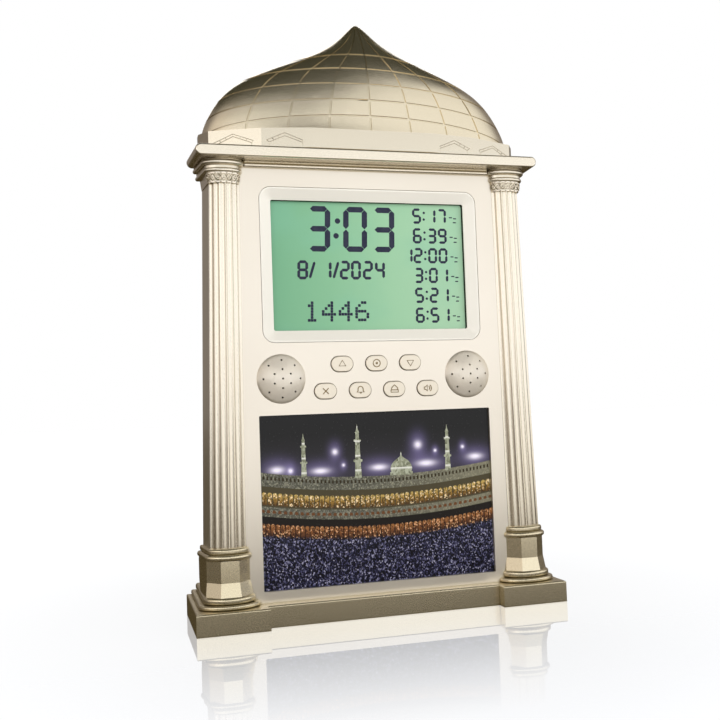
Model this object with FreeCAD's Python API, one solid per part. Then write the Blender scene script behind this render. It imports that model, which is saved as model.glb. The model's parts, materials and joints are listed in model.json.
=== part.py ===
"""Dome-topped table clock that calls the prayer times.

Units are millimetres.  X points right, Y points back and Z points up.  The origin is on the
table, below the middle of the foot.  The front of the clock looks along -Y.

The clock is a shallow plastic case on a deeper foot.  Its face carries a liquid crystal
display, seven push buttons, two domed speaker grilles and a framed picture between two
fluted columns.  A cornice and a half dome with a flat back close the top.
"""
import FreeCAD, Part
import math
import os

V = FreeCAD.Vector
X_AXIS = V(1, 0, 0)
Y_AXIS = V(0, 1, 0)
Z_AXIS = V(0, 0, 1)

# ---------------------------------------------------------------- driving dimensions
FIT = 0.3                      # clearance between pieces that drop into each other

# Foot
PLINTH_WIDTH = 224.0
PLINTH_DEPTH = 63.0
PLINTH_HEIGHT = 12.4
PLINTH_WALL = 2.4
PLINTH_EDGE_ROUND = 0.9
END_BLOCK_WIDTH = 41.3
MIDDLE_SETBACK = 6.9           # the middle of the plinth stands back from its ends
BASE_COVER_THICKNESS = 2.0
STEP_REAR_INSET = 1.4          # the two steps of the foot stop this far from the plinth's rear
BASE_SCREW_SIDE = 16.0         # screws of the base cover from the plinth's ends, front and rear
BASE_SCREW_FRONT = 14.0
BASE_SCREW_REAR = 10.0
BASE_SCREW_RECESS = 0.2        # how far their heads lie above the underside
CASE_SCREW_INSET = 8.0         # outer screws between foot and case, inside the steps
CASE_SCREW_BACK = 1.0          # these screws behind the middle of the case

# Case
PANEL_SETBACK = 14.1           # face of the case behind the front of the plinth
CASE_DEPTH = 20.0
CASE_HEIGHT = 256.6
CASE_HALF_BOTTOM = 102.8
CASE_HALF_TOP = 96.8
SIDE_DRAFT = 1.9               # each side is this much wider at its rear edge
PANEL_WALL = 2.0
SIDE_WALL = 2.4
REAR_COVER_THICKNESS = 2.2

# Pedestals under the columns: half width and reach in front of the face, for each member
PEDESTAL_INSET = 10.22         # their middle inside the case's side at the columns' feet
STEP_ROUND = 0.4               # rounding of the steps' edges, as a share of their height
RING_ROUND = 0.47              # the same for the rings
UPPER_RING_ROUND = 0.35
ABACUS_ROUND = 0.3
STEP_HEIGHT = 2.7
STEP_HALF = 17.5
STEP_PROUD = 10.6
TORUS_HEIGHT = 4.1
TORUS_HALF = 14.8
TORUS_PROUD = 9.4
FLARE_HEIGHT = 7.8
FLARE_HALF = 13.3
FLARE_PROUD = 8.6
FLARE_FRONT_HALF = 5.9
FLARE_DRAFT = 1.2
PRISM_HEIGHT = 12.2
PRISM_HALF = 12.5
PRISM_PROUD = 6.8
PRISM_FRONT_HALF = 5.25
PEDESTAL_DRAFT = 2.4           # the block and its rings open out this much to the rear
LOWER_RING_HEIGHT = 3.4
LOWER_RING_HALF = 13.3
LOWER_RING_PROUD = 7.4
UPPER_RING_HEIGHT = 3.2
UPPER_RING_HALF = 11.7
UPPER_RING_PROUD = 6.0

# Fluted columns
COLUMN_REVEAL = 0.15           # the column's outer edge stands this far inside the case's edge
COLUMN_HALF_BOTTOM = 10.2
COLUMN_HALF_TOP = 8.8
COLUMN_PROUD_BOTTOM = 4.7
COLUMN_PROUD_TOP = 4.3
FLUTE_COUNT = 6
FLUTE_DEPTH = 0.75
ARRIS_SHARE = 0.14             # flat between two flutes, as a share of their pitch

# Capitals
CAPITAL_INSET = 7.9            # their middle inside the case's upper edge
CAPITAL_DRAFT = 2.7
BELL_HEIGHT = 6.0
BELL_HALF_BOTTOM = 9.1
BELL_HALF_TOP = 9.8
BELL_PROUD_BOTTOM = 4.7
BELL_PROUD_TOP = 5.5
BELL_SIDE_BOTTOM = 0.2         # the bell's run along the side, proud of the case at its rear
BELL_SIDE_TOP = 1.2
COLLAR_HEIGHT = 2.6
COLLAR_HALF = 11.2
COLLAR_PROUD = 6.5
NECK_HEIGHT = 1.7
NECK_HALF = 10.5
NECK_PROUD = 5.3
ECHINUS_HEIGHT = 2.8
ECHINUS_HALF = 12.6
ECHINUS_PROUD = 7.6
ABACUS_HEIGHT = 0.7
ABACUS_HALF = 12.0
ABACUS_PROUD = 7.1

# Cornice
CORNICE_HEIGHT = 6.5
CORNICE_OVERHANG = 8.6         # its front corners outside the case's upper edge
CORNICE_DRAFT = 2.3
CORNICE_PROUD = 12.5
CORNICE_EDGE_ROUND = 1.0
CORNICE_NOSE = 0.98            # rounding of its ends, as a share of half its height
BEAD_RADIUS = 1.2
BEAD_GAP = 0.25                # between the bead and the fillet above it
BEAD_STANDOFF = 1.0
FILLET_DROP = 0.85
FILLET_PROUD = 2.0
COVE_DROP = 0.45
COVE_PROUD = 7.2
COVE_HOLLOW = 0.15             # how far the cove curves in, as a share of its drop

# Dome and its drum
DRUM_HEIGHT = 12.3
DRUM_PROUD = 10.5
DRUM_FRONT_HALF = 37.9
DRUM_SHOULDER_HALF = 66.5
DRUM_SHOULDER_PROUD = 5.5
DRUM_CORNER_BACK = 6.0
DRUM_END_OVERHANG = 4.2        # its ends outside the case's upper edge
DRUM_END_BACK = 14.0
DRUM_CORNER_CUT = 5.0
DRUM_SEAM = 0.6                # shadow line between the drum and the cornice
DOME_HEIGHT = 76.2
DOME_OVERHANG = 1.6            # its lower edge outside the case's upper edge
DOME_REACH = 27.1              # from its flat back to the front of its lower edge
DOME_WALL = 2.2
DOME_BACK_THICKNESS = 2.0
DOME_POST = 9.0                # length of the screw posts behind its shell
DOME_SCREW_INSET = 21.0        # the two low screws of its back inside the drum's ends
DOME_SCREW_RISE = 7.4          # the two low screws above the cornice
DOME_SCREW_HIGH = 42.0         # the single screw above the drum
DOME_RIB = 1.2
GROOVE_WIDTH = 1.3             # grooves that divide the dome into panels
GROOVE_DEPTH = 0.5
GROOVE_OVERCUT = 1.0
GROOVE_TIP_SHARE = 0.3         # how narrow an upright groove gets at the tip
PARALLEL_COUNT = 5
PARALLEL_START = 10.0          # middle of the lowest groove above the drum
PARALLEL_PITCH = 10.1
PARALLEL_FALL = 0.48           # slope at which the lowest groove falls to the rear
PARALLEL_EASE = 0.06           # by how much each next groove falls less
MERIDIAN_ANGLES = (0, 15, -15, 30.5, -30.5, 49, -49)    # degrees round the dome's ellipse

# Display
LCD_HALF = 61.0
LCD_HEIGHT = 78.0
LCD_DROP = 21.5                # top of the display below the top of the case
BEZEL_BORDER = 7.0
BEZEL_CORNER = 7.0
BEZEL_LIP = 0.9
BEZEL_DEPTH = 3.0
BEZEL_EDGE = 0.7
BEZEL_FLANGE = 1.9
LCD_CORNER = 1.2
GASKET_THICKNESS = 2.6
GASKET_BORDER = 3.0
GLASS_THICKNESS = 2.4
GLASS_BORDER = 3.4
BACKLIGHT_THICKNESS = 3.0
BACKLIGHT_INSET = 1.0
CONTACT_STRIP_WIDTH = 2.2
CONTACT_STRIP_INSET = 6.0

# Picture
PICTURE_HALF = 71.9
PICTURE_RISE = 6.5             # bottom of the picture above the foot
PICTURE_DROP = 21.2            # top of the picture below the middle of the speakers
PICTURE_BORDER = 2.2
PICTURE_THICKNESS = 2.0
PICTURE_BACKING = 0.9
PICTURE_CORNER = 0.8
PICTURE_CLIP_WIDTH = 8.0
PICTURE_CLIP_THICKNESS = 1.6
PICTURE_CLIP_SHARES = (0.25, 0.75)    # heights of its clips, as shares of its own

# Speakers
SPEAKER_X = 58.2
SPEAKER_DROP = 28.4            # middle of the speakers below the display
GRILLE_RADIUS = 14.5
GRILLE_RISE = 6.0
GRILLE_WALL = 1.5
GRILLE_HOLE = 1.15
GRILLE_INNER_COUNT = 6
GRILLE_INNER_RADIUS = 5.5
GRILLE_OUTER_COUNT = 8
GRILLE_OUTER_RADIUS = 10.9
SPEAKER_RADIUS = 15.3
SPEAKER_FLANGE = 1.0
SPEAKER_BASKET_RADIUS = 14.0
SPEAKER_BASKET_DEPTH = 5.0
SPEAKER_MAGNET_RADIUS = 9.0
SPEAKER_MAGNET_DEPTH = 4.0
SPEAKER_CONE_RADIUS = 13.4
SPEAKER_CAP_RADIUS = 4.5
SPEAKER_CAP_DEPTH = 2.7        # middle of the dust cap behind the rim
SPEAKER_CONE_DEPTH = 3.9       # foot of the cone behind the rim
SPEAKER_RING_HEIGHT = 3.0
SPEAKER_RING_WALL = 1.2
SPEAKER_BOSS_RADIUS = 2.2
SPEAKER_SCREW_COUNT = 3
SPEAKER_SCREW_HEAD = 3.2
SPEAKER_SCREW_LAP = 0.6

# Buttons
BUTTON_WIDTH = 13.4
BUTTON_HEIGHT = 9.2
BUTTON_GAP = 0.35
BUTTON_PROUD = 1.1
BUTTON_CROWN = 0.5
BUTTON_FLANGE = 1.1
BUTTON_FLANGE_THICKNESS = 1.2
BUTTON_STEM_RADIUS = 1.8
BUTTON_TRAVEL = 1.0
BUTTON_SPARE = 0.15            # what is left between a pressed stem and its switch
BUTTON_PITCH = 21.3
BUTTON_ROW_RISE = 7.9          # upper row above the middle of the speakers
BUTTON_ROW_PITCH = 15.85

# Boards and small parts
BUTTON_BOARD_DEPTH = 9.4       # front of the button board behind the face
BUTTON_BOARD_HALF = 39.5
BUTTON_BOARD_MARGIN = 7.0
BOARD_THICKNESS = 1.6
SWITCH_SIDE = 6.0
SWITCH_BODY = 3.5
SWITCH_PLUNGER_RADIUS = 1.7
SWITCH_PLUNGER = 0.8
MAIN_BOARD_SIDE = 16.0         # the main board outside the display on each side
MAIN_BOARD_MARGIN = 5.4
SOCKET_WIDTH = 18.0
SOCKET_DEPTH = 3.0
SOCKET_HEIGHT = 4.0
SOCKET_INSET = 1.0             # from the edge of its board
RIBBON_THICKNESS = 0.5
CHIP_RADIUS = 9.0
CHIP_CURVE = 2.5               # radius of a chip blob's curve, as a multiple of its own radius
CHIP_BULGE = 0.2               # its height, as a multiple of its radius
CHIP_X = 18.0
CHIP_RISE = 6.0                # above the middle of the main board
SMALL_CHIP_RADIUS = 6.5
SMALL_CHIP_X = 24.0
SMALL_CHIP_RISE = 2.0
CAPACITOR_X = 44.0
CAPACITOR_PITCH = 18.0
CAPACITOR_RADIUS = 1.9
CAPACITOR_LENGTH = 9.0
CRYSTAL_X = 40.0
CRYSTAL_RADIUS = 1.4
CRYSTAL_LENGTH = 6.0
BOSS_RADIUS = 3.2
SMALL_BOSS_RADIUS = 2.5
SCREW_RADIUS = 1.25
SCREW_HEAD_RADIUS = 2.6
SCREW_HEAD_HEIGHT = 1.6
SCREW_LENGTH = 7.0
BOARD_SCREW_GRIP = 5.0
REAR_SCREW_GRIP = 9.0
REAR_SCREW_INSET = 9.0
REAR_SCREW_RISE = 11.6         # lowest screws of the rear cover above the foot
REAR_SCREW_DROP = 10.0         # highest ones below the top of the case
TOP_SCREW_X = 72.0
TOP_SCREW_BACK = 12.0          # these screws behind the face
TOP_SCREW_GRIP = 7.0
PEG_RADIUS = 1.6
PEG_ROOT = 1.5
PEG_EXTRA = 0.8
PEG_FIT = 0.1
COLUMN_PEG_SHARES = (0.2, 0.8)    # heights of a column's two pegs, as shares of its own

# Batteries
BATTERY_RADIUS = 7.2
BATTERY_LENGTH = 49.2
BATTERY_NUB_RADIUS = 2.7
BATTERY_NUB = 1.2
BATTERY_COUNT = 3
BATTERY_PITCH = 15.3
BATTERY_RISE = 55.6            # middle of the battery bay above the foot
BAY_FLOOR_DEPTH = 5.6
BAY_WALL = 1.2
BAY_END_SPACE = 4.0
BATTERY_CHAMFER = 0.5
CONTACT_THICKNESS = 0.5
CONTACT_SIDE = 10.0
SPRING_WIRE = 0.8
SPRING_RADIUS = 3.2
SPRING_TURNS = 2.5
SPRING_SIDES = 10
SPRING_WIRE_SIDES = 6
SPRING_GAP = 0.1
DOOR_THICKNESS = 1.8
DOOR_LAP = 2.0
DOOR_PIN_RADIUS = 0.7
DOOR_PIN_FIT = 0.06
DOOR_PIN_LENGTH = 1.6
DOOR_RIM = 2.6
HUMP_CORNER = 3.0
HUMP_EDGE_ROUND = 0.8
THUMB_NOTCH_RADIUS = 9.0
THUMB_NOTCH_DEPTH = 1.2
RIDGE_COUNT = 5
RIDGE_START = 3.0
RIDGE_PITCH = 2.0
RIDGE_RADIUS = 0.4
RIDGE_HALF = 7.0
VENT_COUNT = 5
VENT_PITCH = 5.0
VENT_LENGTH = 20.0
VENT_WIDTH = 2.2

# ---------------------------------------------------------------- levels worked out from them
PLINTH_FRONT = -PLINTH_DEPTH / 2
PLINTH_REAR = PLINTH_DEPTH / 2
FACE_Y = PLINTH_FRONT + PANEL_SETBACK
REAR_Y = FACE_Y + CASE_DEPTH
CAPITAL_CENTRE = CASE_HALF_TOP - CAPITAL_INSET
CORNICE_HALF = CASE_HALF_TOP + CORNICE_OVERHANG
DRUM_END_HALF = CASE_HALF_TOP + DRUM_END_OVERHANG
DRUM_CORNER_HALF = DRUM_END_HALF - DRUM_CORNER_CUT
DOME_HALF = CASE_HALF_TOP + DOME_OVERHANG
STEP_Z = PLINTH_HEIGHT
TORUS_Z = STEP_Z + STEP_HEIGHT
FLARE_Z = TORUS_Z + TORUS_HEIGHT
PRISM_Z = FLARE_Z + FLARE_HEIGHT
LOWER_RING_Z = PRISM_Z + PRISM_HEIGHT
UPPER_RING_Z = LOWER_RING_Z + LOWER_RING_HEIGHT
COLUMN_Z = UPPER_RING_Z + UPPER_RING_HEIGHT
CASE_LEAN = (CASE_HALF_BOTTOM - CASE_HALF_TOP) / CASE_HEIGHT
PEDESTAL_CENTRE = CASE_HALF_BOTTOM - CASE_LEAN * (COLUMN_Z - PLINTH_HEIGHT) - PEDESTAL_INSET
CORNICE_Z = PLINTH_HEIGHT + CASE_HEIGHT
DRUM_Z = CORNICE_Z + CORNICE_HEIGHT
DOME_Z = DRUM_Z + DRUM_HEIGHT
ECHINUS_Z = CORNICE_Z - ABACUS_HEIGHT - ECHINUS_HEIGHT
NECK_Z = ECHINUS_Z - NECK_HEIGHT
COLLAR_Z = NECK_Z - COLLAR_HEIGHT
BELL_Z = COLLAR_Z - BELL_HEIGHT
LCD_Z1 = CORNICE_Z - LCD_DROP
LCD_Z0 = LCD_Z1 - LCD_HEIGHT
SPEAKER_Z = LCD_Z0 - SPEAKER_DROP
BUTTON_ROW_TOP = SPEAKER_Z + BUTTON_ROW_RISE
BUTTON_ROW_BOTTOM = BUTTON_ROW_TOP - BUTTON_ROW_PITCH
PICTURE_Z0 = PLINTH_HEIGHT + PICTURE_RISE
PICTURE_Z1 = SPEAKER_Z - PICTURE_DROP
BATTERY_Z = PLINTH_HEIGHT + BATTERY_RISE
MAIN_BOARD_HALF = LCD_HALF + MAIN_BOARD_SIDE
GASKET_Y = FACE_Y + BEZEL_DEPTH + BEZEL_EDGE
GLASS_Y = GASKET_Y + GASKET_THICKNESS
BACKLIGHT_Y = GLASS_Y + GLASS_THICKNESS
MAIN_BOARD_Y = BACKLIGHT_Y + BACKLIGHT_THICKNESS
BUTTON_BOARD_Y = FACE_Y + BUTTON_BOARD_DEPTH
COVER_Y = REAR_Y - REAR_COVER_THICKNESS


# ---------------------------------------------------------------- helpers
def block(x0, x1, y0, y1, z0, z1):
    """Box between two corners."""
    return Part.makeBox(x1 - x0, y1 - y0, z1 - z0, V(x0, y0, z0))


def rod(radius, length, start, axis=Y_AXIS):
    """Round bar that starts at a point and runs along an axis."""
    return Part.makeCylinder(radius, length, start, axis)


def tube(outer, inner, length, start, axis=Y_AXIS):
    """Round tube."""
    return rod(outer, length, start, axis).cut(rod(inner, length, start, axis))


def mirrored(shape):
    """The same shape on the left side of the clock."""
    return shape.mirror(V(0, 0, 0), X_AXIS)


def fused(shapes):
    """One solid from shapes that share faces or overlap."""
    whole = shapes[0].multiFuse(shapes[1:])
    return whole.removeSplitter()


def round_rectangle(x0, x1, z0, z1, radius, y):
    """Closed outline with round corners in the plane at depth y."""
    reach = radius * math.sqrt(0.5)
    corners = ((x1 - radius, z1 - radius, 1, 1), (x0 + radius, z1 - radius, -1, 1),
               (x0 + radius, z0 + radius, -1, -1), (x1 - radius, z0 + radius, 1, -1))
    edges = []
    last = None
    first = None
    for index, (cx, cz, sx, sz) in enumerate(corners):
        side = V(cx + sx * radius, y, cz)
        top = V(cx, y, cz + sz * radius)
        middle = V(cx + sx * reach, y, cz + sz * reach)
        start, end = (side, top) if index % 2 == 0 else (top, side)
        if last is not None and last.distanceToPoint(start) > 1e-6:
            edges.append(Part.LineSegment(last, start).toShape())
        edges.append(Part.Arc(start, middle, end).toShape())
        first = first or start
        last = end
    if last.distanceToPoint(first) > 1e-6:
        edges.append(Part.LineSegment(last, first).toShape())
    return Part.Wire(edges)


def round_plate(x0, x1, z0, z1, radius, y0, y1):
    """Upright plate with round corners."""
    return Part.Face(round_rectangle(x0, x1, z0, z1, radius, y0)).extrude(V(0, y1 - y0, 0))


def pill(cx, cz, width, height, y0, y1):
    """Upright plate with two half-round ends."""
    return round_plate(cx - width / 2, cx + width / 2, cz - height / 2, cz + height / 2,
                       height / 2, y0, y1)


def polygon_face(points):
    """Flat face with straight sides."""
    return Part.Face(Part.makePolygon(points + [points[0]]))


def case_half(z, y):
    """Half width of the case at a height and a depth: it narrows upwards and to the front."""
    draft = SIDE_DRAFT / CASE_DEPTH
    return CASE_HALF_BOTTOM - CASE_LEAN * (z - PLINTH_HEIGHT) + draft * (y - FACE_Y)


def case_block(inset, y0, y1, z0, z1):
    """Solid with the case's leaning sides, drawn in by inset."""
    rings = []
    for y in (y0, y1):
        low = case_half(z0, y) - inset
        high = case_half(z1, y) - inset
        rings.append([V(-low, y, z0), V(low, y, z0), V(high, y, z1), V(-high, y, z1)])
    front, rear = rings
    faces = [polygon_face(front), polygon_face(rear)]
    for index in range(4):
        after = (index + 1) % 4
        faces.append(polygon_face([front[index], front[after], rear[after], rear[index]]))
    return Part.makeSolid(Part.makeShell(faces))


def case_outside():
    """The whole volume of the case, as a tool to fit the trim round it."""
    return case_block(0, FACE_Y, REAR_Y, PLINTH_HEIGHT, CORNICE_Z)


def screw(head_point, axis, length=SCREW_LENGTH):
    """Pan-head screw: the head's outer face is at head_point and the axis runs to the tip."""
    head = rod(SCREW_HEAD_RADIUS, SCREW_HEAD_HEIGHT, head_point, axis)
    shank = rod(SCREW_RADIUS, length, head_point + axis * SCREW_HEAD_HEIGHT, axis)
    return head.fuse(shank)


# ---------------------------------------------------------------- mouldings that wrap a corner
def wrapped_plan(centre, half, proud, rear_y, z, draft):
    """Outline of a member seen from above: a half ellipse in front, then straight back.

    It is drawn for the right side.  The side line leaves the ellipse as its tangent and
    opens outwards by the draft, so that it follows the side of the case.
    """
    slope = draft / CASE_DEPTH
    turn = math.atan(slope * proud / half)
    oval = Part.Ellipse(V(centre, FACE_Y, z), half, proud)
    front = Part.ArcOfEllipse(oval, math.pi, 2 * math.pi - turn).toShape()
    inner = V(centre - half, FACE_Y, z)
    outer = V(centre + half * math.cos(turn), FACE_Y - proud * math.sin(turn), z)
    back = V(outer.x + slope * (rear_y - outer.y), rear_y, z)
    inner_back = V(inner.x, rear_y, z)
    side = Part.LineSegment(outer, back).toShape()
    rear = Part.LineSegment(back, inner_back).toShape()
    close = Part.LineSegment(inner_back, inner).toShape()
    return Part.Face(Part.Wire([front, side, rear, close]))


def wrapped_ring(centre, half, proud, z, height, rear_y, rounding, draft):
    """A member with a rounded outer edge that wraps the front and the side of the case."""
    solid = wrapped_plan(centre, half, proud, rear_y, z, draft).extrude(V(0, 0, height))
    chosen = []
    for edge in solid.Edges:
        box = edge.BoundBox
        flat = box.ZLength < 1e-6
        middle = box.Center
        outside = middle.x > centre and box.YLength > 1 or box.XLength > 1.9 * half
        behind = box.YLength < 1e-6
        if flat and outside and not behind:
            chosen.append(edge)
    return solid.makeFillet(rounding, chosen)


def wrapped_prism(lower, upper, z0, z1, rear_y):
    """Three-sided front with a straight side, lofted between two outlines.

    Each outline is half width, front half width, front reach and draft.  The two slanting
    facets stand at 45 degrees.
    """
    wires = []
    for (half, front_half, proud, draft), z in ((lower, z0), (upper, z1)):
        corner = proud - (half - front_half)
        points = [V(PEDESTAL_CENTRE - half, rear_y, z),
                  V(PEDESTAL_CENTRE - half, FACE_Y - corner, z),
                  V(PEDESTAL_CENTRE - front_half, FACE_Y - proud, z),
                  V(PEDESTAL_CENTRE + front_half, FACE_Y - proud, z),
                  V(PEDESTAL_CENTRE + half, FACE_Y - corner, z),
                  V(PEDESTAL_CENTRE + half + draft, rear_y, z)]
        wires.append(Part.makePolygon(points + [points[0]]))
    return Part.makeLoft(wires, True, True)


# ---------------------------------------------------------------- foot
def plinth_plan(inset, z):
    """Outline of the plinth: two end blocks and a middle that stands back."""
    half = PLINTH_WIDTH / 2 - inset
    front = PLINTH_FRONT + inset
    middle_half = PLINTH_WIDTH / 2 - END_BLOCK_WIDTH + inset
    middle_front = PLINTH_FRONT + MIDDLE_SETBACK + inset
    rear = PLINTH_REAR - inset
    return polygon_face([V(-half, front, z), V(-middle_half, front, z),
                         V(-middle_half, middle_front, z), V(middle_half, middle_front, z),
                         V(middle_half, front, z), V(half, front, z), V(half, rear, z),
                         V(-half, rear, z)])


def case_screw_places():
    """Where four screws come up through the plinth into the case."""
    x = PEDESTAL_CENTRE - STEP_HALF - CASE_SCREW_INSET
    y = FACE_Y + CASE_DEPTH / 2 + CASE_SCREW_BACK
    return [(-x, y), (-x / 3, y), (x / 3, y), (x, y)]


def base_screw_places():
    """Where four screws hold the base cover."""
    x = PLINTH_WIDTH / 2 - BASE_SCREW_SIDE
    y0 = PLINTH_FRONT + BASE_SCREW_FRONT
    y1 = PLINTH_REAR - BASE_SCREW_REAR
    return [(-x, y0), (x, y0), (-x, y1), (x, y1)]


def base_plinth():
    """Hollow foot with a stepped deck behind the case."""
    body = plinth_plan(0, 0).extrude(V(0, 0, PLINTH_HEIGHT))
    top_edges = [e for e in body.Edges if e.BoundBox.ZMin > PLINTH_HEIGHT - 1e-3]
    body = body.makeFillet(PLINTH_EDGE_ROUND, top_edges)
    hollow = plinth_plan(PLINTH_WALL, 0).extrude(V(0, 0, PLINTH_HEIGHT - PLINTH_WALL))
    body = body.cut(hollow)
    rear = PLINTH_REAR - STEP_REAR_INSET
    low_half = PEDESTAL_CENTRE - STEP_HALF
    high_half = PEDESTAL_CENTRE - TORUS_HALF
    deck = [block(-low_half, low_half, REAR_Y, rear, STEP_Z, TORUS_Z),
            block(-high_half, high_half, REAR_Y, rear - STEP_REAR_INSET, TORUS_Z, FLARE_Z)]
    lid = fused([body] + deck)
    pocket = block(-low_half + PLINTH_WALL, low_half - PLINTH_WALL, REAR_Y + PLINTH_WALL,
                   rear - STEP_REAR_INSET - PLINTH_WALL, 0, FLARE_Z - PLINTH_WALL)
    lid = lid.cut(pocket)
    seat = BASE_COVER_THICKNESS
    post_height = PLINTH_HEIGHT - PLINTH_WALL / 2 - seat
    posts = [rod(BOSS_RADIUS, post_height, V(x, y, seat), Z_AXIS) for x, y in base_screw_places()]
    holes = [rod(SCREW_RADIUS, SCREW_LENGTH, V(x, y, seat), Z_AXIS) for x, y in base_screw_places()]
    for x, y in case_screw_places():
        start = V(x, y, PLINTH_HEIGHT - 2 * PLINTH_WALL)
        holes.append(rod(SCREW_RADIUS + FIT, 3 * PLINTH_WALL, start, Z_AXIS))
    return lid.multiFuse(posts).cut(Part.makeCompound(holes)).removeSplitter()


def base_cover():
    """Plate that closes the foot from below."""
    plate = plinth_plan(PLINTH_WALL + FIT, 0).extrude(V(0, 0, BASE_COVER_THICKNESS))
    holes = []
    for x, y in base_screw_places():
        hole = rod(SCREW_RADIUS + FIT, BASE_COVER_THICKNESS, V(x, y, 0), Z_AXIS)
        sink = rod(SCREW_HEAD_RADIUS + FIT, BASE_COVER_THICKNESS / 2, V(x, y, 0), Z_AXIS)
        holes.append(hole.fuse(sink))
    return plate.cut(Part.makeCompound(holes))


def base_screws():
    """Four screws of the base cover, with their heads sunk below its face."""
    sunk = BASE_COVER_THICKNESS / 2
    group = []
    for x, y in base_screw_places():
        start = V(x, y, BASE_SCREW_RECESS)
        head = rod(SCREW_HEAD_RADIUS, sunk - BASE_SCREW_RECESS, start, Z_AXIS)
        shank = rod(SCREW_RADIUS, SCREW_LENGTH, V(x, y, sunk), Z_AXIS)
        group.append(head.fuse(shank))
    return Part.makeCompound(group)


def case_screws():
    """Four screws that hold the case down on the foot."""
    start = PLINTH_HEIGHT - PLINTH_WALL - SCREW_HEAD_HEIGHT
    return Part.makeCompound([screw(V(x, y, start), Z_AXIS) for x, y in case_screw_places()])


# ---------------------------------------------------------------- columns
def pedestal():
    """Right pedestal: two steps that run to the rear of the foot, a flared eight-sided block
    and two rings."""
    step_rear = PLINTH_REAR - STEP_REAR_INSET
    step = wrapped_ring(PEDESTAL_CENTRE, STEP_HALF, STEP_PROUD, STEP_Z, STEP_HEIGHT, step_rear,
                        STEP_HEIGHT * STEP_ROUND, 0)
    torus = wrapped_ring(PEDESTAL_CENTRE, TORUS_HALF, TORUS_PROUD, TORUS_Z, TORUS_HEIGHT,
                         step_rear - STEP_REAR_INSET, TORUS_HEIGHT * STEP_ROUND, 0)
    flare_low = (FLARE_HALF, FLARE_FRONT_HALF, FLARE_PROUD, FLARE_DRAFT)
    prism_line = (PRISM_HALF, PRISM_FRONT_HALF, PRISM_PROUD, PEDESTAL_DRAFT)
    flare = wrapped_prism(flare_low, prism_line, FLARE_Z, PRISM_Z, REAR_Y)
    prism = wrapped_prism(prism_line, prism_line, PRISM_Z, LOWER_RING_Z, REAR_Y)
    lower = wrapped_ring(PEDESTAL_CENTRE, LOWER_RING_HALF, LOWER_RING_PROUD, LOWER_RING_Z,
                         LOWER_RING_HEIGHT, REAR_Y, LOWER_RING_HEIGHT * RING_ROUND, PEDESTAL_DRAFT)
    upper = wrapped_ring(PEDESTAL_CENTRE, UPPER_RING_HALF, UPPER_RING_PROUD, UPPER_RING_Z,
                         UPPER_RING_HEIGHT, REAR_Y, UPPER_RING_HEIGHT * UPPER_RING_ROUND, PEDESTAL_DRAFT)
    whole = fused([step, torus, flare, prism, lower, upper])
    whole = whole.cut(case_outside())
    pocket_x0 = PEDESTAL_CENTRE - TORUS_HALF + SIDE_WALL
    pocket_x1 = PEDESTAL_CENTRE + TORUS_HALF - 2 * SIDE_WALL
    pocket = block(pocket_x0, pocket_x1, REAR_Y + SIDE_WALL, step_rear - 2 * SIDE_WALL,
                   STEP_Z, FLARE_Z - SIDE_WALL)
    return whole.cut(pocket)


def column_section(z, share):
    """Fluted outline of the column at a height; share runs from 0 at its foot to 1 at its top."""
    half = COLUMN_HALF_BOTTOM + (COLUMN_HALF_TOP - COLUMN_HALF_BOTTOM) * share
    proud = COLUMN_PROUD_BOTTOM + (COLUMN_PROUD_TOP - COLUMN_PROUD_BOTTOM) * share
    centre_x = case_half(z, FACE_Y) - COLUMN_REVEAL - half
    radius = (half * half + proud * proud) / (2 * proud)
    centre_y = FACE_Y - proud + radius
    spread = math.asin(half / radius)
    pitch = 2 * spread / FLUTE_COUNT
    margin = pitch * ARRIS_SHARE / 2

    def on_arc(angle, depth=0.0):
        reach = radius - depth
        return V(centre_x + reach * math.sin(angle), centre_y - reach * math.cos(angle), z)

    edges = []
    for flute in range(FLUTE_COUNT):
        start = -spread + flute * pitch
        end = start + pitch
        first = on_arc(start)
        left = on_arc(start + margin)
        bottom = on_arc((start + end) / 2, FLUTE_DEPTH)
        right = on_arc(end - margin)
        last = on_arc(end)
        edges.append(Part.LineSegment(first, left).toShape())
        edges.append(Part.Arc(left, bottom, right).toShape())
        edges.append(Part.LineSegment(right, last).toShape())
    edges.append(Part.LineSegment(on_arc(spread), on_arc(-spread)).toShape())
    return Part.Wire(edges)


def column():
    """Right column: a tapered fluted shaft that leans in with the side of the case."""
    return Part.makeLoft([column_section(COLUMN_Z, 0), column_section(BELL_Z, 1)], True, True)


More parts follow.
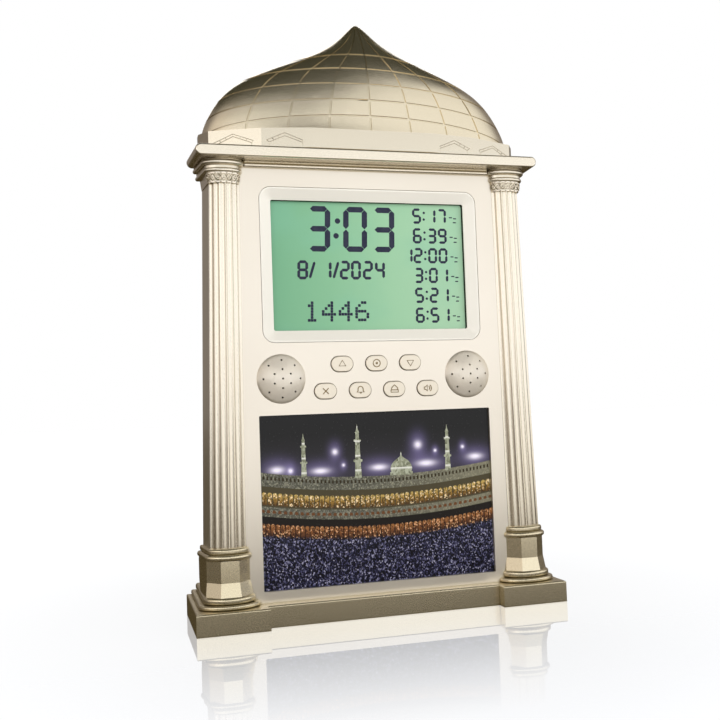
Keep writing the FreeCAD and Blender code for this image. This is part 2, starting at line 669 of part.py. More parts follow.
def capital():
    """Right capital: a flared bell and three rings that wrap the side of the case."""
    wires = []
    for half, proud, z in ((BELL_HALF_BOTTOM, BELL_PROUD_BOTTOM, BELL_Z),
                           (BELL_HALF_TOP, BELL_PROUD_TOP, COLLAR_Z)):
        oval = Part.Ellipse(V(CAPITAL_CENTRE, FACE_Y, z), half, proud)
        front = Part.ArcOfEllipse(oval, math.pi, 2 * math.pi).toShape()
        back = Part.LineSegment(V(CAPITAL_CENTRE + half, FACE_Y, z),
                                V(CAPITAL_CENTRE - half, FACE_Y, z)).toShape()
        wires.append(Part.Wire([front, back]))
    bell = Part.makeLoft(wires, True, True)
    wires = []
    for half, side, z in ((BELL_HALF_BOTTOM, BELL_SIDE_BOTTOM, BELL_Z),
                          (BELL_HALF_TOP, BELL_SIDE_TOP, COLLAR_Z)):
        points = [V(CAPITAL_CENTRE, FACE_Y, z), V(CAPITAL_CENTRE + half, FACE_Y, z),
                  V(case_half(z, REAR_Y) + side, REAR_Y, z), V(CAPITAL_CENTRE, REAR_Y, z)]
        wires.append(Part.makePolygon(points + [points[0]]))
    flank = Part.makeLoft(wires, True, True)
    collar = wrapped_ring(CAPITAL_CENTRE, COLLAR_HALF, COLLAR_PROUD, COLLAR_Z, COLLAR_HEIGHT,
                          REAR_Y, COLLAR_HEIGHT * RING_ROUND, CAPITAL_DRAFT)
    neck = wrapped_plan(CAPITAL_CENTRE, NECK_HALF, NECK_PROUD, REAR_Y, NECK_Z,
                        CAPITAL_DRAFT).extrude(V(0, 0, NECK_HEIGHT))
    echinus = wrapped_ring(CAPITAL_CENTRE, ECHINUS_HALF, ECHINUS_PROUD, ECHINUS_Z, ECHINUS_HEIGHT,
                           REAR_Y, ECHINUS_HEIGHT * RING_ROUND, CAPITAL_DRAFT)
    abacus = wrapped_ring(CAPITAL_CENTRE, ABACUS_HALF, ABACUS_PROUD, ECHINUS_Z + ECHINUS_HEIGHT,
                          ABACUS_HEIGHT, REAR_Y, ABACUS_HEIGHT * ABACUS_ROUND, CAPITAL_DRAFT)
    whole = fused([bell, flank, collar, neck, echinus, abacus])
    return whole.cut(case_outside())


# ---------------------------------------------------------------- cornice
def cornice():
    """Slab with round ends over the case, and the cove and bead below it in front."""
    front = FACE_Y - CORNICE_PROUD
    nose = CORNICE_NOSE * CORNICE_HEIGHT / 2
    outlines = []
    for half, y in ((CORNICE_HALF, front), (CORNICE_HALF + CORNICE_DRAFT, REAR_Y)):
        outlines.append(round_rectangle(-half, half, CORNICE_Z, DRUM_Z, nose, y))
    slab = Part.makeLoft(outlines, True, True)
    front_edges = [e for e in slab.Edges if e.BoundBox.YMax < front + 0.01]
    slab = slab.makeFillet(CORNICE_EDGE_ROUND, front_edges)
    bead_z = CORNICE_Z - FILLET_DROP - BEAD_GAP - BEAD_RADIUS
    base = FACE_Y - BEAD_STANDOFF
    fillet_z = CORNICE_Z - FILLET_DROP
    cove_z = CORNICE_Z - COVE_DROP
    fillet_y = FACE_Y - FILLET_PROUD
    cove_y = FACE_Y - COVE_PROUD
    start_x = CAPITAL_CENTRE - ECHINUS_HALF
    points = [V(start_x, base, bead_z - BEAD_RADIUS), V(start_x, base - BEAD_RADIUS, bead_z),
              V(start_x, base, bead_z + BEAD_RADIUS), V(start_x, base, fillet_z),
              V(start_x, fillet_y, fillet_z), V(start_x, fillet_y, cove_z),
              V(start_x, cove_y, CORNICE_Z), V(start_x, FACE_Y, CORNICE_Z),
              V(start_x, FACE_Y, bead_z - BEAD_RADIUS)]
    hollow = V(start_x, (fillet_y + cove_y) / 2, (cove_z + CORNICE_Z) / 2 + COVE_HOLLOW * COVE_DROP)
    edges = [Part.Arc(points[0], points[1], points[2]).toShape()]
    for first, last in ((2, 3), (3, 4), (4, 5)):
        edges.append(Part.LineSegment(points[first], points[last]).toShape())
    edges.append(Part.Arc(points[5], hollow, points[6]).toShape())
    for first, last in ((6, 7), (7, 8), (8, 0)):
        edges.append(Part.LineSegment(points[first], points[last]).toShape())
    moulding = Part.Face(Part.Wire(edges)).extrude(V(-2 * start_x, 0, 0))
    whole = fused([slab, moulding])
    for x, y in top_screw_places():
        whole = whole.cut(rod(SCREW_RADIUS + FIT, CORNICE_HEIGHT, V(x, y, CORNICE_Z), Z_AXIS))
    return whole


# ---------------------------------------------------------------- dome
# Stations of the dome's ogee, from its lower edge to its tip.  Each gives the height as a share
# of the dome's, and the half width and the reach as shares of those of its lower edge.
DOME_STATIONS = ((0.0, 1.0, 1.0), (0.142, 0.967, 0.959), (0.269, 0.910, 0.930),
                 (0.396, 0.823, 0.886), (0.531, 0.650, 0.812), (0.668, 0.391, 0.675),
                 (0.777, 0.222, 0.494), (0.882, 0.112, 0.303), (0.969, 0.041, 0.133),
                 (1.0, 0.012, 0.030))


def dome_solid(inset, drop):
    """The half dome's volume, drawn in by inset and lowered by drop."""
    wires = []
    for height_share, half_share, reach_share in DOME_STATIONS:
        half = DOME_HALF * half_share - inset
        reach = DOME_REACH * reach_share - inset
        if reach > 0:
            z = DOME_Z + DOME_HEIGHT * height_share - drop
            oval = Part.Ellipse(V(0, REAR_Y, z), half, reach)
            wires.append(Part.Wire(oval.toShape()))
    whole = Part.makeLoft(wires, True, False)
    front_half = block(-2 * DOME_HALF, 2 * DOME_HALF, REAR_Y - 2 * DOME_REACH, REAR_Y,
                       DOME_Z - DOME_HEIGHT, DOME_Z + 2 * DOME_HEIGHT)
    return whole.common(front_half)


def dome_point(station, angle, outward, sideways):
    """Point near the dome's surface at a station and at an angle round its ellipse."""
    height_share, half_share, reach_share = station
    half = DOME_HALF * half_share
    reach = DOME_REACH * reach_share
    sine = math.sin(angle)
    cosine = math.cos(angle)
    normal = V(sine / half, -cosine / reach, 0).normalize()
    along = V(half * cosine, reach * sine, 0).normalize()
    point = V(half * sine, REAR_Y - reach * cosine, DOME_Z + DOME_HEIGHT * height_share)
    return point + normal * outward + along * sideways


def dome_front(z):
    """Where the front of the dome is, in its middle, at a height."""
    share = (z - DOME_Z) / DOME_HEIGHT
    for low, high in zip(DOME_STATIONS, DOME_STATIONS[1:]):
        if low[0] <= share <= high[0]:
            part = (share - low[0]) / (high[0] - low[0])
            return REAR_Y - DOME_REACH * (low[2] + part * (high[2] - low[2]))
    return REAR_Y


def dome_grooves():
    """Tools for the grooves round the dome and for those that run up to its tip.

    A groove round the dome lies in a plane that falls to the rear, so that the shallow dome
    looks deeper than it is.  A groove that runs up gets narrower with the dome, and ends one
    station below the tip.
    """
    tools = []
    core = dome_solid(GROOVE_DEPTH, 0)
    above = block(-2 * DOME_HALF, 2 * DOME_HALF, REAR_Y - 2 * DOME_REACH, REAR_Y + 1,
                  DOME_Z, DOME_Z + 2 * DOME_HEIGHT)
    ends = (REAR_Y - 2 * DOME_REACH, REAR_Y + 1)
    for index in range(PARALLEL_COUNT):
        middle = DOME_Z + PARALLEL_START + index * PARALLEL_PITCH
        fall = PARALLEL_FALL - index * PARALLEL_EASE
        front = dome_front(middle)
        low = [V(-2 * DOME_HALF, y, middle - GROOVE_WIDTH / 2 - fall * (y - front)) for y in ends]
        high = [V(p.x, p.y, p.z + GROOVE_WIDTH) for p in reversed(low)]
        slab = polygon_face(low + high).extrude(V(4 * DOME_HALF, 0, 0))
        tools.append(slab.cut(core).common(above))
    for degrees in MERIDIAN_ANGLES:
        angle = math.radians(degrees)
        wires = []
        for station in DOME_STATIONS[:-1]:
            side = GROOVE_WIDTH / 2 * min(1, GROOVE_TIP_SHARE + station[1])
            corners = [dome_point(station, angle, GROOVE_OVERCUT, -side),
                       dome_point(station, angle, GROOVE_OVERCUT, side),
                       dome_point(station, angle, -GROOVE_DEPTH, side),
                       dome_point(station, angle, -GROOVE_DEPTH, -side)]
            wires.append(Part.makePolygon(corners + [corners[0]]))
        tools.append(Part.makeLoft(wires, True, False))
    return tools


def drum_solid(inset, z0, z1):
    """Faceted drum below the dome."""
    corners = [(DRUM_FRONT_HALF, FACE_Y - DRUM_PROUD),
               (DRUM_SHOULDER_HALF, FACE_Y - DRUM_SHOULDER_PROUD),
               (DRUM_CORNER_HALF, FACE_Y + DRUM_CORNER_BACK),
               (DRUM_END_HALF, FACE_Y + DRUM_END_BACK), (DRUM_END_HALF, REAR_Y)]
    right = [V(x - inset, min(y + inset, REAR_Y), z0) for x, y in corners]
    left = [V(-p.x, p.y, z0) for p in reversed(right)]
    return polygon_face(right + left).extrude(V(0, 0, z1 - z0))


def dome_screw_places():
    """Where three screws hold the dome's back plate."""
    low = DRUM_Z + DOME_SCREW_RISE
    x = DRUM_END_HALF - DOME_SCREW_INSET
    return [(-x, low), (x, low), (0, DOME_Z + DOME_SCREW_HIGH)]


def dome_shell():
    """Grooved half dome on its faceted drum, moulded in one piece and open at its flat back."""
    outside = [drum_solid(DRUM_SEAM, DRUM_Z, DRUM_Z + DRUM_SEAM),
               drum_solid(0, DRUM_Z + DRUM_SEAM, DOME_Z), dome_solid(0, 0)]
    solid = fused(outside)
    room = fused([drum_solid(DOME_WALL, DRUM_Z + DOME_WALL, DOME_Z - DOME_WALL),
                  dome_solid(DOME_WALL, DOME_WALL)])
    shell = solid.cut(room)
    seat_y = REAR_Y - DOME_BACK_THICKNESS
    posts = []
    holes = []
    for x, z in dome_screw_places():
        posts.append(rod(BOSS_RADIUS, DOME_POST, V(x, seat_y - DOME_POST, z)).common(solid))
        posts.append(block(x - DOME_RIB / 2, x + DOME_RIB / 2, seat_y - DOME_POST, seat_y,
                           DRUM_Z + DOME_WALL / 2, z))
        holes.append(rod(SCREW_RADIUS, SCREW_LENGTH, V(x, seat_y - SCREW_LENGTH, z)))
    for x, y in top_screw_places():
        posts.append(rod(BOSS_RADIUS, TOP_SCREW_GRIP + FIT, V(x, y, DRUM_Z + DOME_WALL / 2), Z_AXIS))
        holes.append(rod(SCREW_RADIUS, TOP_SCREW_GRIP, V(x, y, DRUM_Z), Z_AXIS))
    shell = shell.multiFuse(posts).cut(Part.makeCompound(holes)).removeSplitter()
    for groove in dome_grooves():
        shell = shell.cut(groove)
    return shell


def dome_back():
    """Flat plate that closes the dome from behind."""
    inset = DOME_WALL + FIT
    seat_y = REAR_Y - DOME_BACK_THICKNESS
    slab = block(-DRUM_END_HALF, DRUM_END_HALF, seat_y, REAR_Y, DRUM_Z, DOME_Z + DOME_HEIGHT)
    outline = fused([drum_solid(inset, DRUM_Z + inset, DOME_Z - inset), dome_solid(inset, inset)])
    plate = outline.common(slab)
    for x, z in dome_screw_places():
        plate = plate.cut(rod(SCREW_RADIUS + FIT, 2 * DOME_BACK_THICKNESS, V(x, seat_y - 1, z)))
    return plate


def dome_screws():
    """Three screws of the dome's back plate."""
    head_y = REAR_Y + SCREW_HEAD_HEIGHT
    return Part.makeCompound([screw(V(x, head_y, z), -Y_AXIS, SCREW_LENGTH - 1)
                              for x, z in dome_screw_places()])


def top_screw_places():
    """Where four screws come up through the cornice into the dome."""
    y = FACE_Y + TOP_SCREW_BACK
    return [(-TOP_SCREW_X, y), (-TOP_SCREW_X / 3, y), (TOP_SCREW_X / 3, y), (TOP_SCREW_X, y)]


def top_screws():
    """Four long screws that clamp the dome and the cornice on the case."""
    start = CORNICE_Z - PANEL_WALL - SCREW_HEAD_HEIGHT
    length = PANEL_WALL + CORNICE_HEIGHT + TOP_SCREW_GRIP
    return Part.makeCompound([screw(V(x, y, start), Z_AXIS, length) for x, y in top_screw_places()])


# ---------------------------------------------------------------- front case
def rear_screw_places():
    """Where six screws hold the rear cover."""
    places = []
    for z in (PLINTH_HEIGHT + REAR_SCREW_RISE, SPEAKER_Z, CORNICE_Z - REAR_SCREW_DROP):
        x = case_half(z, FACE_Y) - SIDE_WALL - REAR_SCREW_INSET
        places += [(-x, z), (x, z)]
    return places


def main_board_screw_places():
    """Where four screws hold the main board beside the display."""
    x = MAIN_BOARD_HALF - BOSS_RADIUS - FIT
    z0 = LCD_Z0 + MAIN_BOARD_MARGIN
    z1 = LCD_Z1 - MAIN_BOARD_MARGIN
    return [(-x, z0), (x, z0), (-x, z1), (x, z1)]


def button_board_screw_places():
    """Where four screws hold the button board, between the buttons."""
    high = (BUTTON_BOARD_HALF - BOSS_RADIUS - FIT, BUTTON_ROW_TOP + BOSS_RADIUS)
    low = (BUTTON_PITCH, BUTTON_ROW_BOTTOM)
    return [(-high[0], high[1]), high, (-low[0], low[1]), low]


def speaker_screw_places():
    """Where three screws hold each speaker by its rim, on the right side of the clock."""
    reach = SPEAKER_RADIUS + SPEAKER_SCREW_HEAD - SPEAKER_SCREW_LAP
    places = []
    for index in range(SPEAKER_SCREW_COUNT):
        angle = 2 * math.pi * index / SPEAKER_SCREW_COUNT
        places.append((SPEAKER_X + reach * math.cos(angle), SPEAKER_Z + reach * math.sin(angle)))
    return places


def column_peg_places():
    """Where the locating pegs of the right pedestal, column and capital stand."""
    places = [(PEDESTAL_CENTRE, (PRISM_Z + LOWER_RING_Z) / 2)]
    for share in COLUMN_PEG_SHARES:
        z = COLUMN_Z + (BELL_Z - COLUMN_Z) * share
        half = COLUMN_HALF_BOTTOM + (COLUMN_HALF_TOP - COLUMN_HALF_BOTTOM) * share
        places.append((case_half(z, FACE_Y) - COLUMN_REVEAL - half, z))
    places.append((CAPITAL_CENTRE, (COLLAR_Z + CORNICE_Z) / 2))
    return places


def column_peg(index):
    """One peg, with its root inside the piece that carries it."""
    x, z = column_peg_places()[index]
    return rod(PEG_RADIUS, PANEL_WALL + PEG_EXTRA + PEG_ROOT, V(x, FACE_Y - PEG_ROOT, z))


def button_places():
    """Name, x and z of each push button: three above four."""
    rows = ((BUTTON_ROW_TOP, ("up_button", "set_button", "down_button")),
            (BUTTON_ROW_BOTTOM, ("exit_button", "alarm_button", "prayer_button", "sound_button")))
    places = []
    for z, names in rows:
        for index, name in enumerate(names):
            places.append((name, (index - (len(names) - 1) / 2) * BUTTON_PITCH, z))
    return places


def grille_holes():
    """Sound holes of the right grille: one in the middle and two rings."""
    holes = [(0.0, 0.0)]
    rings = ((GRILLE_INNER_COUNT, GRILLE_INNER_RADIUS), (GRILLE_OUTER_COUNT, GRILLE_OUTER_RADIUS))
    for count, reach in rings:
        for index in range(count):
            angle = math.pi / 2 + 2 * math.pi * index / count
            holes.append((reach * math.cos(angle), reach * math.sin(angle)))
    tools = []
    for dx, dz in holes:
        start = V(SPEAKER_X + dx, FACE_Y - GRILLE_RISE - 1, SPEAKER_Z + dz)
        tools.append(rod(GRILLE_HOLE / 2, GRILLE_RISE + PANEL_WALL + 1, start))
    return tools


def grille_spheres():
    """Outer and inner ball of the right grille's shallow dome."""
    radius = (GRILLE_RADIUS ** 2 + GRILLE_RISE ** 2) / (2 * GRILLE_RISE)
    centre = V(SPEAKER_X, FACE_Y - GRILLE_RISE + radius, SPEAKER_Z)
    slab = block(0, PLINTH_WIDTH, FACE_Y - GRILLE_RISE - 1, FACE_Y + PANEL_WALL, 0, CORNICE_Z)
    outer = Part.makeSphere(radius, centre).common(slab)
    inner = Part.makeSphere(radius - GRILLE_WALL, centre).common(slab)
    return outer, inner


def picture_clips():
    """Hooks behind the face that hold the picture and its backing."""
    edge = PICTURE_HALF + PICTURE_BORDER + FIT
    seat = FACE_Y + PANEL_WALL
    hook = seat + PICTURE_THICKNESS + PICTURE_BACKING + FIT / 2
    clips = []
    for share in PICTURE_CLIP_SHARES:
        z = PICTURE_Z0 + (PICTURE_Z1 - PICTURE_Z0) * share
        z0 = z - PICTURE_CLIP_WIDTH / 2
        z1 = z + PICTURE_CLIP_WIDTH / 2
        end = hook + PICTURE_CLIP_THICKNESS
        clips.append(block(edge, edge + PICTURE_CLIP_THICKNESS, seat, end, z0, z1))
        clips.append(block(edge - PICTURE_BORDER, edge, hook, end, z0, z1))
    return clips


def front_case():
    """Face and four walls in one moulding, with the grilles, bosses and clips behind it."""
    seat = FACE_Y + PANEL_WALL
    room = case_block(SIDE_WALL, seat, REAR_Y + 1, PLINTH_HEIGHT + PANEL_WALL, CORNICE_Z - PANEL_WALL)
    shell = case_outside().cut(room)
    outer, inner = grille_spheres()
    added = [outer, mirrored(outer)]
    ring_outer = SPEAKER_RADIUS + FIT + SPEAKER_RING_WALL
    ring = tube(ring_outer, SPEAKER_RADIUS + FIT, SPEAKER_RING_HEIGHT, V(SPEAKER_X, seat, SPEAKER_Z))
    right = [ring] + picture_clips()
    for x, z in speaker_screw_places():
        right.append(rod(SPEAKER_BOSS_RADIUS, SPEAKER_FLANGE, V(x, seat, z)))
    added += right + [mirrored(item) for item in right]
    for x, z in rear_screw_places():
        added.append(rod(BOSS_RADIUS, COVER_Y - seat, V(x, seat, z)))
    for x, z in main_board_screw_places():
        added.append(rod(BOSS_RADIUS, MAIN_BOARD_Y - seat, V(x, seat, z)))
    for x, z in button_board_screw_places():
        added.append(rod(SMALL_BOSS_RADIUS, BUTTON_BOARD_Y - seat, V(x, seat, z)))
    for x, y in case_screw_places():
        added.append(rod(BOSS_RADIUS, SCREW_LENGTH, V(x, y, PLINTH_HEIGHT + PANEL_WALL / 2), Z_AXIS))
    shell = shell.multiFuse(added)

    border = BEZEL_BORDER + FIT
    cuts = [inner, mirrored(inner),
            round_plate(-LCD_HALF - border, LCD_HALF + border, LCD_Z0 - border, LCD_Z1 + border,
                        BEZEL_CORNER + FIT, FACE_Y - 1, seat + 1),
            round_plate(-PICTURE_HALF, PICTURE_HALF, PICTURE_Z0, PICTURE_Z1, PICTURE_CORNER,
                        FACE_Y - 1, seat + 1)]
    for name, x, z in button_places():
        cuts.append(pill(x, z, BUTTON_WIDTH + 2 * BUTTON_GAP, BUTTON_HEIGHT + 2 * BUTTON_GAP,
                         FACE_Y - 1, seat + 1))
    for x, z in rear_screw_places():
        cuts.append(rod(SCREW_RADIUS, REAR_SCREW_GRIP + 1, V(x, COVER_Y - REAR_SCREW_GRIP - 1, z)))
    for x, z in main_board_screw_places():
        cuts.append(rod(SCREW_RADIUS, BOARD_SCREW_GRIP, V(x, MAIN_BOARD_Y - BOARD_SCREW_GRIP, z)))
    for x, z in button_board_screw_places():
        cuts.append(rod(SCREW_RADIUS, BOARD_SCREW_GRIP, V(x, BUTTON_BOARD_Y - BOARD_SCREW_GRIP, z)))
    for x, y in case_screw_places():
        cuts.append(rod(SCREW_RADIUS, SCREW_LENGTH, V(x, y, PLINTH_HEIGHT), Z_AXIS))
    for x, y in top_screw_places():
        cuts.append(rod(SCREW_RADIUS + FIT, PANEL_WALL, V(x, y, CORNICE_Z - PANEL_WALL), Z_AXIS))
    right_cuts = grille_holes()
    for x, z in speaker_screw_places():
        start = V(x, seat + SPEAKER_FLANGE, z)
        right_cuts.append(rod(SPEAKER_SCREW_HEAD + FIT, SPEAKER_RING_HEIGHT, start))
    for x, z in column_peg_places():
        right_cuts.append(rod(PEG_RADIUS + PEG_FIT, PANEL_WALL + 2, V(x, FACE_Y - 1, z)))
    cuts += right_cuts + [mirrored(item) for item in right_cuts]
    return shell.cut(Part.makeCompound(cuts)).removeSplitter()


# ---------------------------------------------------------------- display
def lcd_bezel():
    """Sloped frame round the display, seated behind the face by its flange."""
    x = LCD_HALF + BEZEL_BORDER
    z0 = LCD_Z0 - BEZEL_BORDER
    z1 = LCD_Z1 + BEZEL_BORDER
    body = round_plate(-x, x, z0, z1, BEZEL_CORNER, FACE_Y, GASKET_Y)
    rim = BEZEL_FLANGE
    body = body.fuse(round_plate(-x - rim, x + rim, z0 - rim, z1 + rim, BEZEL_CORNER + rim,
                                 FACE_Y + PANEL_WALL, GASKET_Y))
    lip = BEZEL_LIP
    wide = round_rectangle(-x + lip, x - lip, z0 + lip, z1 - lip, BEZEL_CORNER - lip, FACE_Y)
    narrow = round_rectangle(-LCD_HALF, LCD_HALF, LCD_Z0, LCD_Z1, LCD_CORNER, FACE_Y + BEZEL_DEPTH)
    slope = Part.makeLoft([wide, narrow], True, True)
    window = round_plate(-LCD_HALF, LCD_HALF, LCD_Z0, LCD_Z1, LCD_CORNER, FACE_Y + BEZEL_DEPTH / 2,
                         GASKET_Y + 1)
    return body.cut(slope.fuse(window)).removeSplitter()


def lcd_gasket():
    """Black foam frame between the bezel and the glass."""
    grow = GASKET_BORDER
    frame = round_plate(-LCD_HALF - grow, LCD_HALF + grow, LCD_Z0 - grow, LCD_Z1 + grow,
                        LCD_CORNER + grow, GASKET_Y, GLASS_Y)
    window = round_plate(-LCD_HALF, LCD_HALF, LCD_Z0, LCD_Z1, LCD_CORNER, GASKET_Y - 1, GLASS_Y + 1)
    return frame.cut(window)


def lcd_glass():
    """Liquid crystal cell."""
    grow = GLASS_BORDER
    return block(-LCD_HALF - grow, LCD_HALF + grow, GLASS_Y, BACKLIGHT_Y, LCD_Z0 - grow, LCD_Z1 + grow)


def contact_strip_top():
    """Upper edge of the contact strip, above which the backlight starts."""
    return LCD_Z0 - GLASS_BORDER + FIT + CONTACT_STRIP_WIDTH


def lcd_contact_strip():
    """Rubber strip that carries the signals from the main board to the glass."""
    half = LCD_HALF - CONTACT_STRIP_INSET
    top = contact_strip_top()
    return block(-half, half, BACKLIGHT_Y, MAIN_BOARD_Y, top - CONTACT_STRIP_WIDTH, top)


def lcd_backlight():
    """Light panel behind the glass."""
    half = LCD_HALF + GLASS_BORDER - BACKLIGHT_INSET
    return block(-half, half, BACKLIGHT_Y, MAIN_BOARD_Y, contact_strip_top() + FIT,
                 LCD_Z1 + GLASS_BORDER - BACKLIGHT_INSET)


# ---------------------------------------------------------------- picture
def picture_panel():
    """Clear panel printed on its rear, behind the opening of the face."""
    grow = PICTURE_BORDER
    seat = FACE_Y + PANEL_WALL
    return block(-PICTURE_HALF - grow, PICTURE_HALF + grow, seat, seat + PICTURE_THICKNESS,
                 PICTURE_Z0 - grow, PICTURE_Z1 + grow)


def picture_backing():
    """Card behind the printed panel."""
    grow = PICTURE_BORDER
    seat = FACE_Y + PANEL_WALL + PICTURE_THICKNESS
    return block(-PICTURE_HALF - grow, PICTURE_HALF + grow, seat, seat + PICTURE_BACKING,
                 PICTURE_Z0 - grow, PICTURE_Z1 + grow)


# ---------------------------------------------------------------- boards
def board(half, y, z0, z1, places):
    """Circuit board with its screw holes."""
    plate = block(-half, half, y, y + BOARD_THICKNESS, z0, z1)
    start = y - BOARD_THICKNESS / 2
    holes = [rod(SCREW_RADIUS + FIT, 2 * BOARD_THICKNESS, V(x, start, z)) for x, z in places]
    return plate.cut(Part.makeCompound(holes))


def main_board():
    """Board of the clock, sound and display, behind the backlight."""
    z0 = LCD_Z0 - MAIN_BOARD_MARGIN
    z1 = LCD_Z1 + MAIN_BOARD_MARGIN
    return board(MAIN_BOARD_HALF, MAIN_BOARD_Y, z0, z1, main_board_screw_places())


def button_board():
    """Board that carries the seven switches."""
    z0 = BUTTON_ROW_BOTTOM - BUTTON_BOARD_MARGIN
    z1 = BUTTON_ROW_TOP + BUTTON_BOARD_MARGIN
    return board(BUTTON_BOARD_HALF, BUTTON_BOARD_Y, z0, z1, button_board_screw_places())


def board_screws():
    """Eight screws of the two boards."""
    length = BOARD_SCREW_GRIP + BOARD_THICKNESS - FIT
    boards = ((MAIN_BOARD_Y, main_board_screw_places()),
              (BUTTON_BOARD_Y, button_board_screw_places()))
    group = []
    for y, places in boards:
        head_y = y + BOARD_THICKNESS + SCREW_HEAD_HEIGHT
        group += [screw(V(x, head_y, z), -Y_AXIS, length) for x, z in places]
    return Part.makeCompound(group)


def switch_top():
    """Depth of the top of a switch's plunger."""
    return BUTTON_BOARD_Y - SWITCH_BODY - SWITCH_PLUNGER


def tact_switches():
    """Seven small push switches on the front of the button board."""
    side = SWITCH_SIDE / 2
    group = []
    for name, x, z in button_places():
        body = block(x - side, x + side, BUTTON_BOARD_Y - SWITCH_BODY, BUTTON_BOARD_Y,
                     z - side, z + side)
        plunger = rod(SWITCH_PLUNGER_RADIUS, SWITCH_PLUNGER, V(x, switch_top(), z))
        group.append(body.fuse(plunger))
    return Part.makeCompound(group)


def board_components():
    """Chip blobs, capacitors, crystal and sockets on the rear of the two boards."""
    rear = MAIN_BOARD_Y + BOARD_THICKNESS
    low_rear = BUTTON_BOARD_Y + BOARD_THICKNESS
    middle = (LCD_Z0 + LCD_Z1) / 2
    group = []
    blobs = ((-CHIP_X, middle + CHIP_RISE, CHIP_RADIUS),
             (SMALL_CHIP_X, middle + SMALL_CHIP_RISE, SMALL_CHIP_RADIUS))
    for x, z, radius in blobs:
        room = block(x - radius, x + radius, rear, rear + radius, z - radius, z + radius)
        curve = radius * CHIP_CURVE
        ball = Part.makeSphere(curve, V(x, rear + radius * CHIP_BULGE - curve, z))
        group.append(ball.common(room))
    for z in (middle - CAPACITOR_PITCH / 2, middle + CAPACITOR_PITCH / 2):
        start = V(CAPACITOR_X, rear + CAPACITOR_RADIUS, z)
        group.append(rod(CAPACITOR_RADIUS, CAPACITOR_LENGTH, start, Z_AXIS))
    start = V(-CRYSTAL_X, rear + CRYSTAL_RADIUS, middle)
    group.append(rod(CRYSTAL_RADIUS, CRYSTAL_LENGTH, start, X_AXIS))
    half = SOCKET_WIDTH / 2
    main_z = LCD_Z0 - MAIN_BOARD_MARGIN + SOCKET_INSET
    low_z = BUTTON_ROW_TOP + BUTTON_BOARD_MARGIN - SOCKET_INSET - SOCKET_HEIGHT
    group.append(block(-half, half, rear, rear + SOCKET_DEPTH, main_z, main_z + SOCKET_HEIGHT))
    group.append(block(-half, half, low_rear, low_rear + SOCKET_DEPTH, low_z, low_z + SOCKET_HEIGHT))
    return Part.makeCompound(group)


def ribbon_cable():
    """Flat cable between the sockets of the two boards."""
    depth = BOARD_THICKNESS + SOCKET_DEPTH / 2
    low = V(0, BUTTON_BOARD_Y + depth, BUTTON_ROW_TOP + BUTTON_BOARD_MARGIN - SOCKET_INSET)
    high = V(0, MAIN_BOARD_Y + depth, LCD_Z0 - MAIN_BOARD_MARGIN + SOCKET_INSET)
    rise = V(0, 0, (high.z - low.z) / 3)
    thin = V(0, RIBBON_THICKNESS / 2, 0)
    route = [low, low + rise, high - rise, high]
    outline = [point - thin for point in route] + [point + thin for point in reversed(route)]
    half = SOCKET_WIDTH / 2 - 1
    strip = polygon_face(outline).extrude(V(2 * half, 0, 0))
    strip.translate(V(-half, 0, 0))
    return strip


# ---------------------------------------------------------------- speakers
def speaker():
    """Right speaker: rim, open basket, cone, dust cap and magnet."""
    y0 = FACE_Y + PANEL_WALL
    y1 = y0 + SPEAKER_FLANGE
    y2 = y1 + SPEAKER_BASKET_DEPTH
    y3 = y2 + SPEAKER_MAGNET_DEPTH
    outline = [V(SPEAKER_CONE_RADIUS, y0, 0), V(SPEAKER_RADIUS, y0, 0), V(SPEAKER_RADIUS, y1, 0),
               V(SPEAKER_BASKET_RADIUS, y1, 0), V(SPEAKER_MAGNET_RADIUS, y2, 0),
               V(SPEAKER_MAGNET_RADIUS, y3, 0), V(0, y3, 0), V(0, y0 + SPEAKER_CAP_DEPTH, 0),
               V(SPEAKER_CAP_RADIUS, y0 + SPEAKER_CONE_DEPTH, 0)]
    turned = polygon_face(outline).revolve(V(0, 0, 0), Y_AXIS, 360)
    turned.translate(V(SPEAKER_X, 0, SPEAKER_Z))
    return turned


def speaker_screws():
    """Six screws whose wide heads lap the speakers' rims."""
    head_y = FACE_Y + PANEL_WALL + SPEAKER_FLANGE
    group = []
    for x, z in speaker_screw_places():
        head = rod(SPEAKER_SCREW_HEAD, SCREW_HEAD_HEIGHT, V(x, head_y, z))
        group += [head, mirrored(head)]
    return Part.makeCompound(group)


# ---------------------------------------------------------------- buttons
def button(x, z):
    """Pill-shaped key with a crowned face, a flange behind the case's face and a short stem."""
    front = FACE_Y - BUTTON_PROUD
    seat = FACE_Y + PANEL_WALL
    flange_end = seat + BUTTON_FLANGE_THICKNESS
    stem_end = switch_top() - BUTTON_TRAVEL - BUTTON_SPARE
    key = pill(x, z, BUTTON_WIDTH, BUTTON_HEIGHT, front, seat)
    rim = [e for e in key.Edges if e.BoundBox.YMax < front + 0.01]
    key = key.makeFillet(BUTTON_CROWN, rim)
    flange = pill(x, z, BUTTON_WIDTH + 2 * BUTTON_FLANGE, BUTTON_HEIGHT + 2 * BUTTON_FLANGE,
                  seat, flange_end)
    stem = rod(BUTTON_STEM_RADIUS, stem_end - flange_end, V(x, flange_end, z))
    return fused([key, flange, stem])


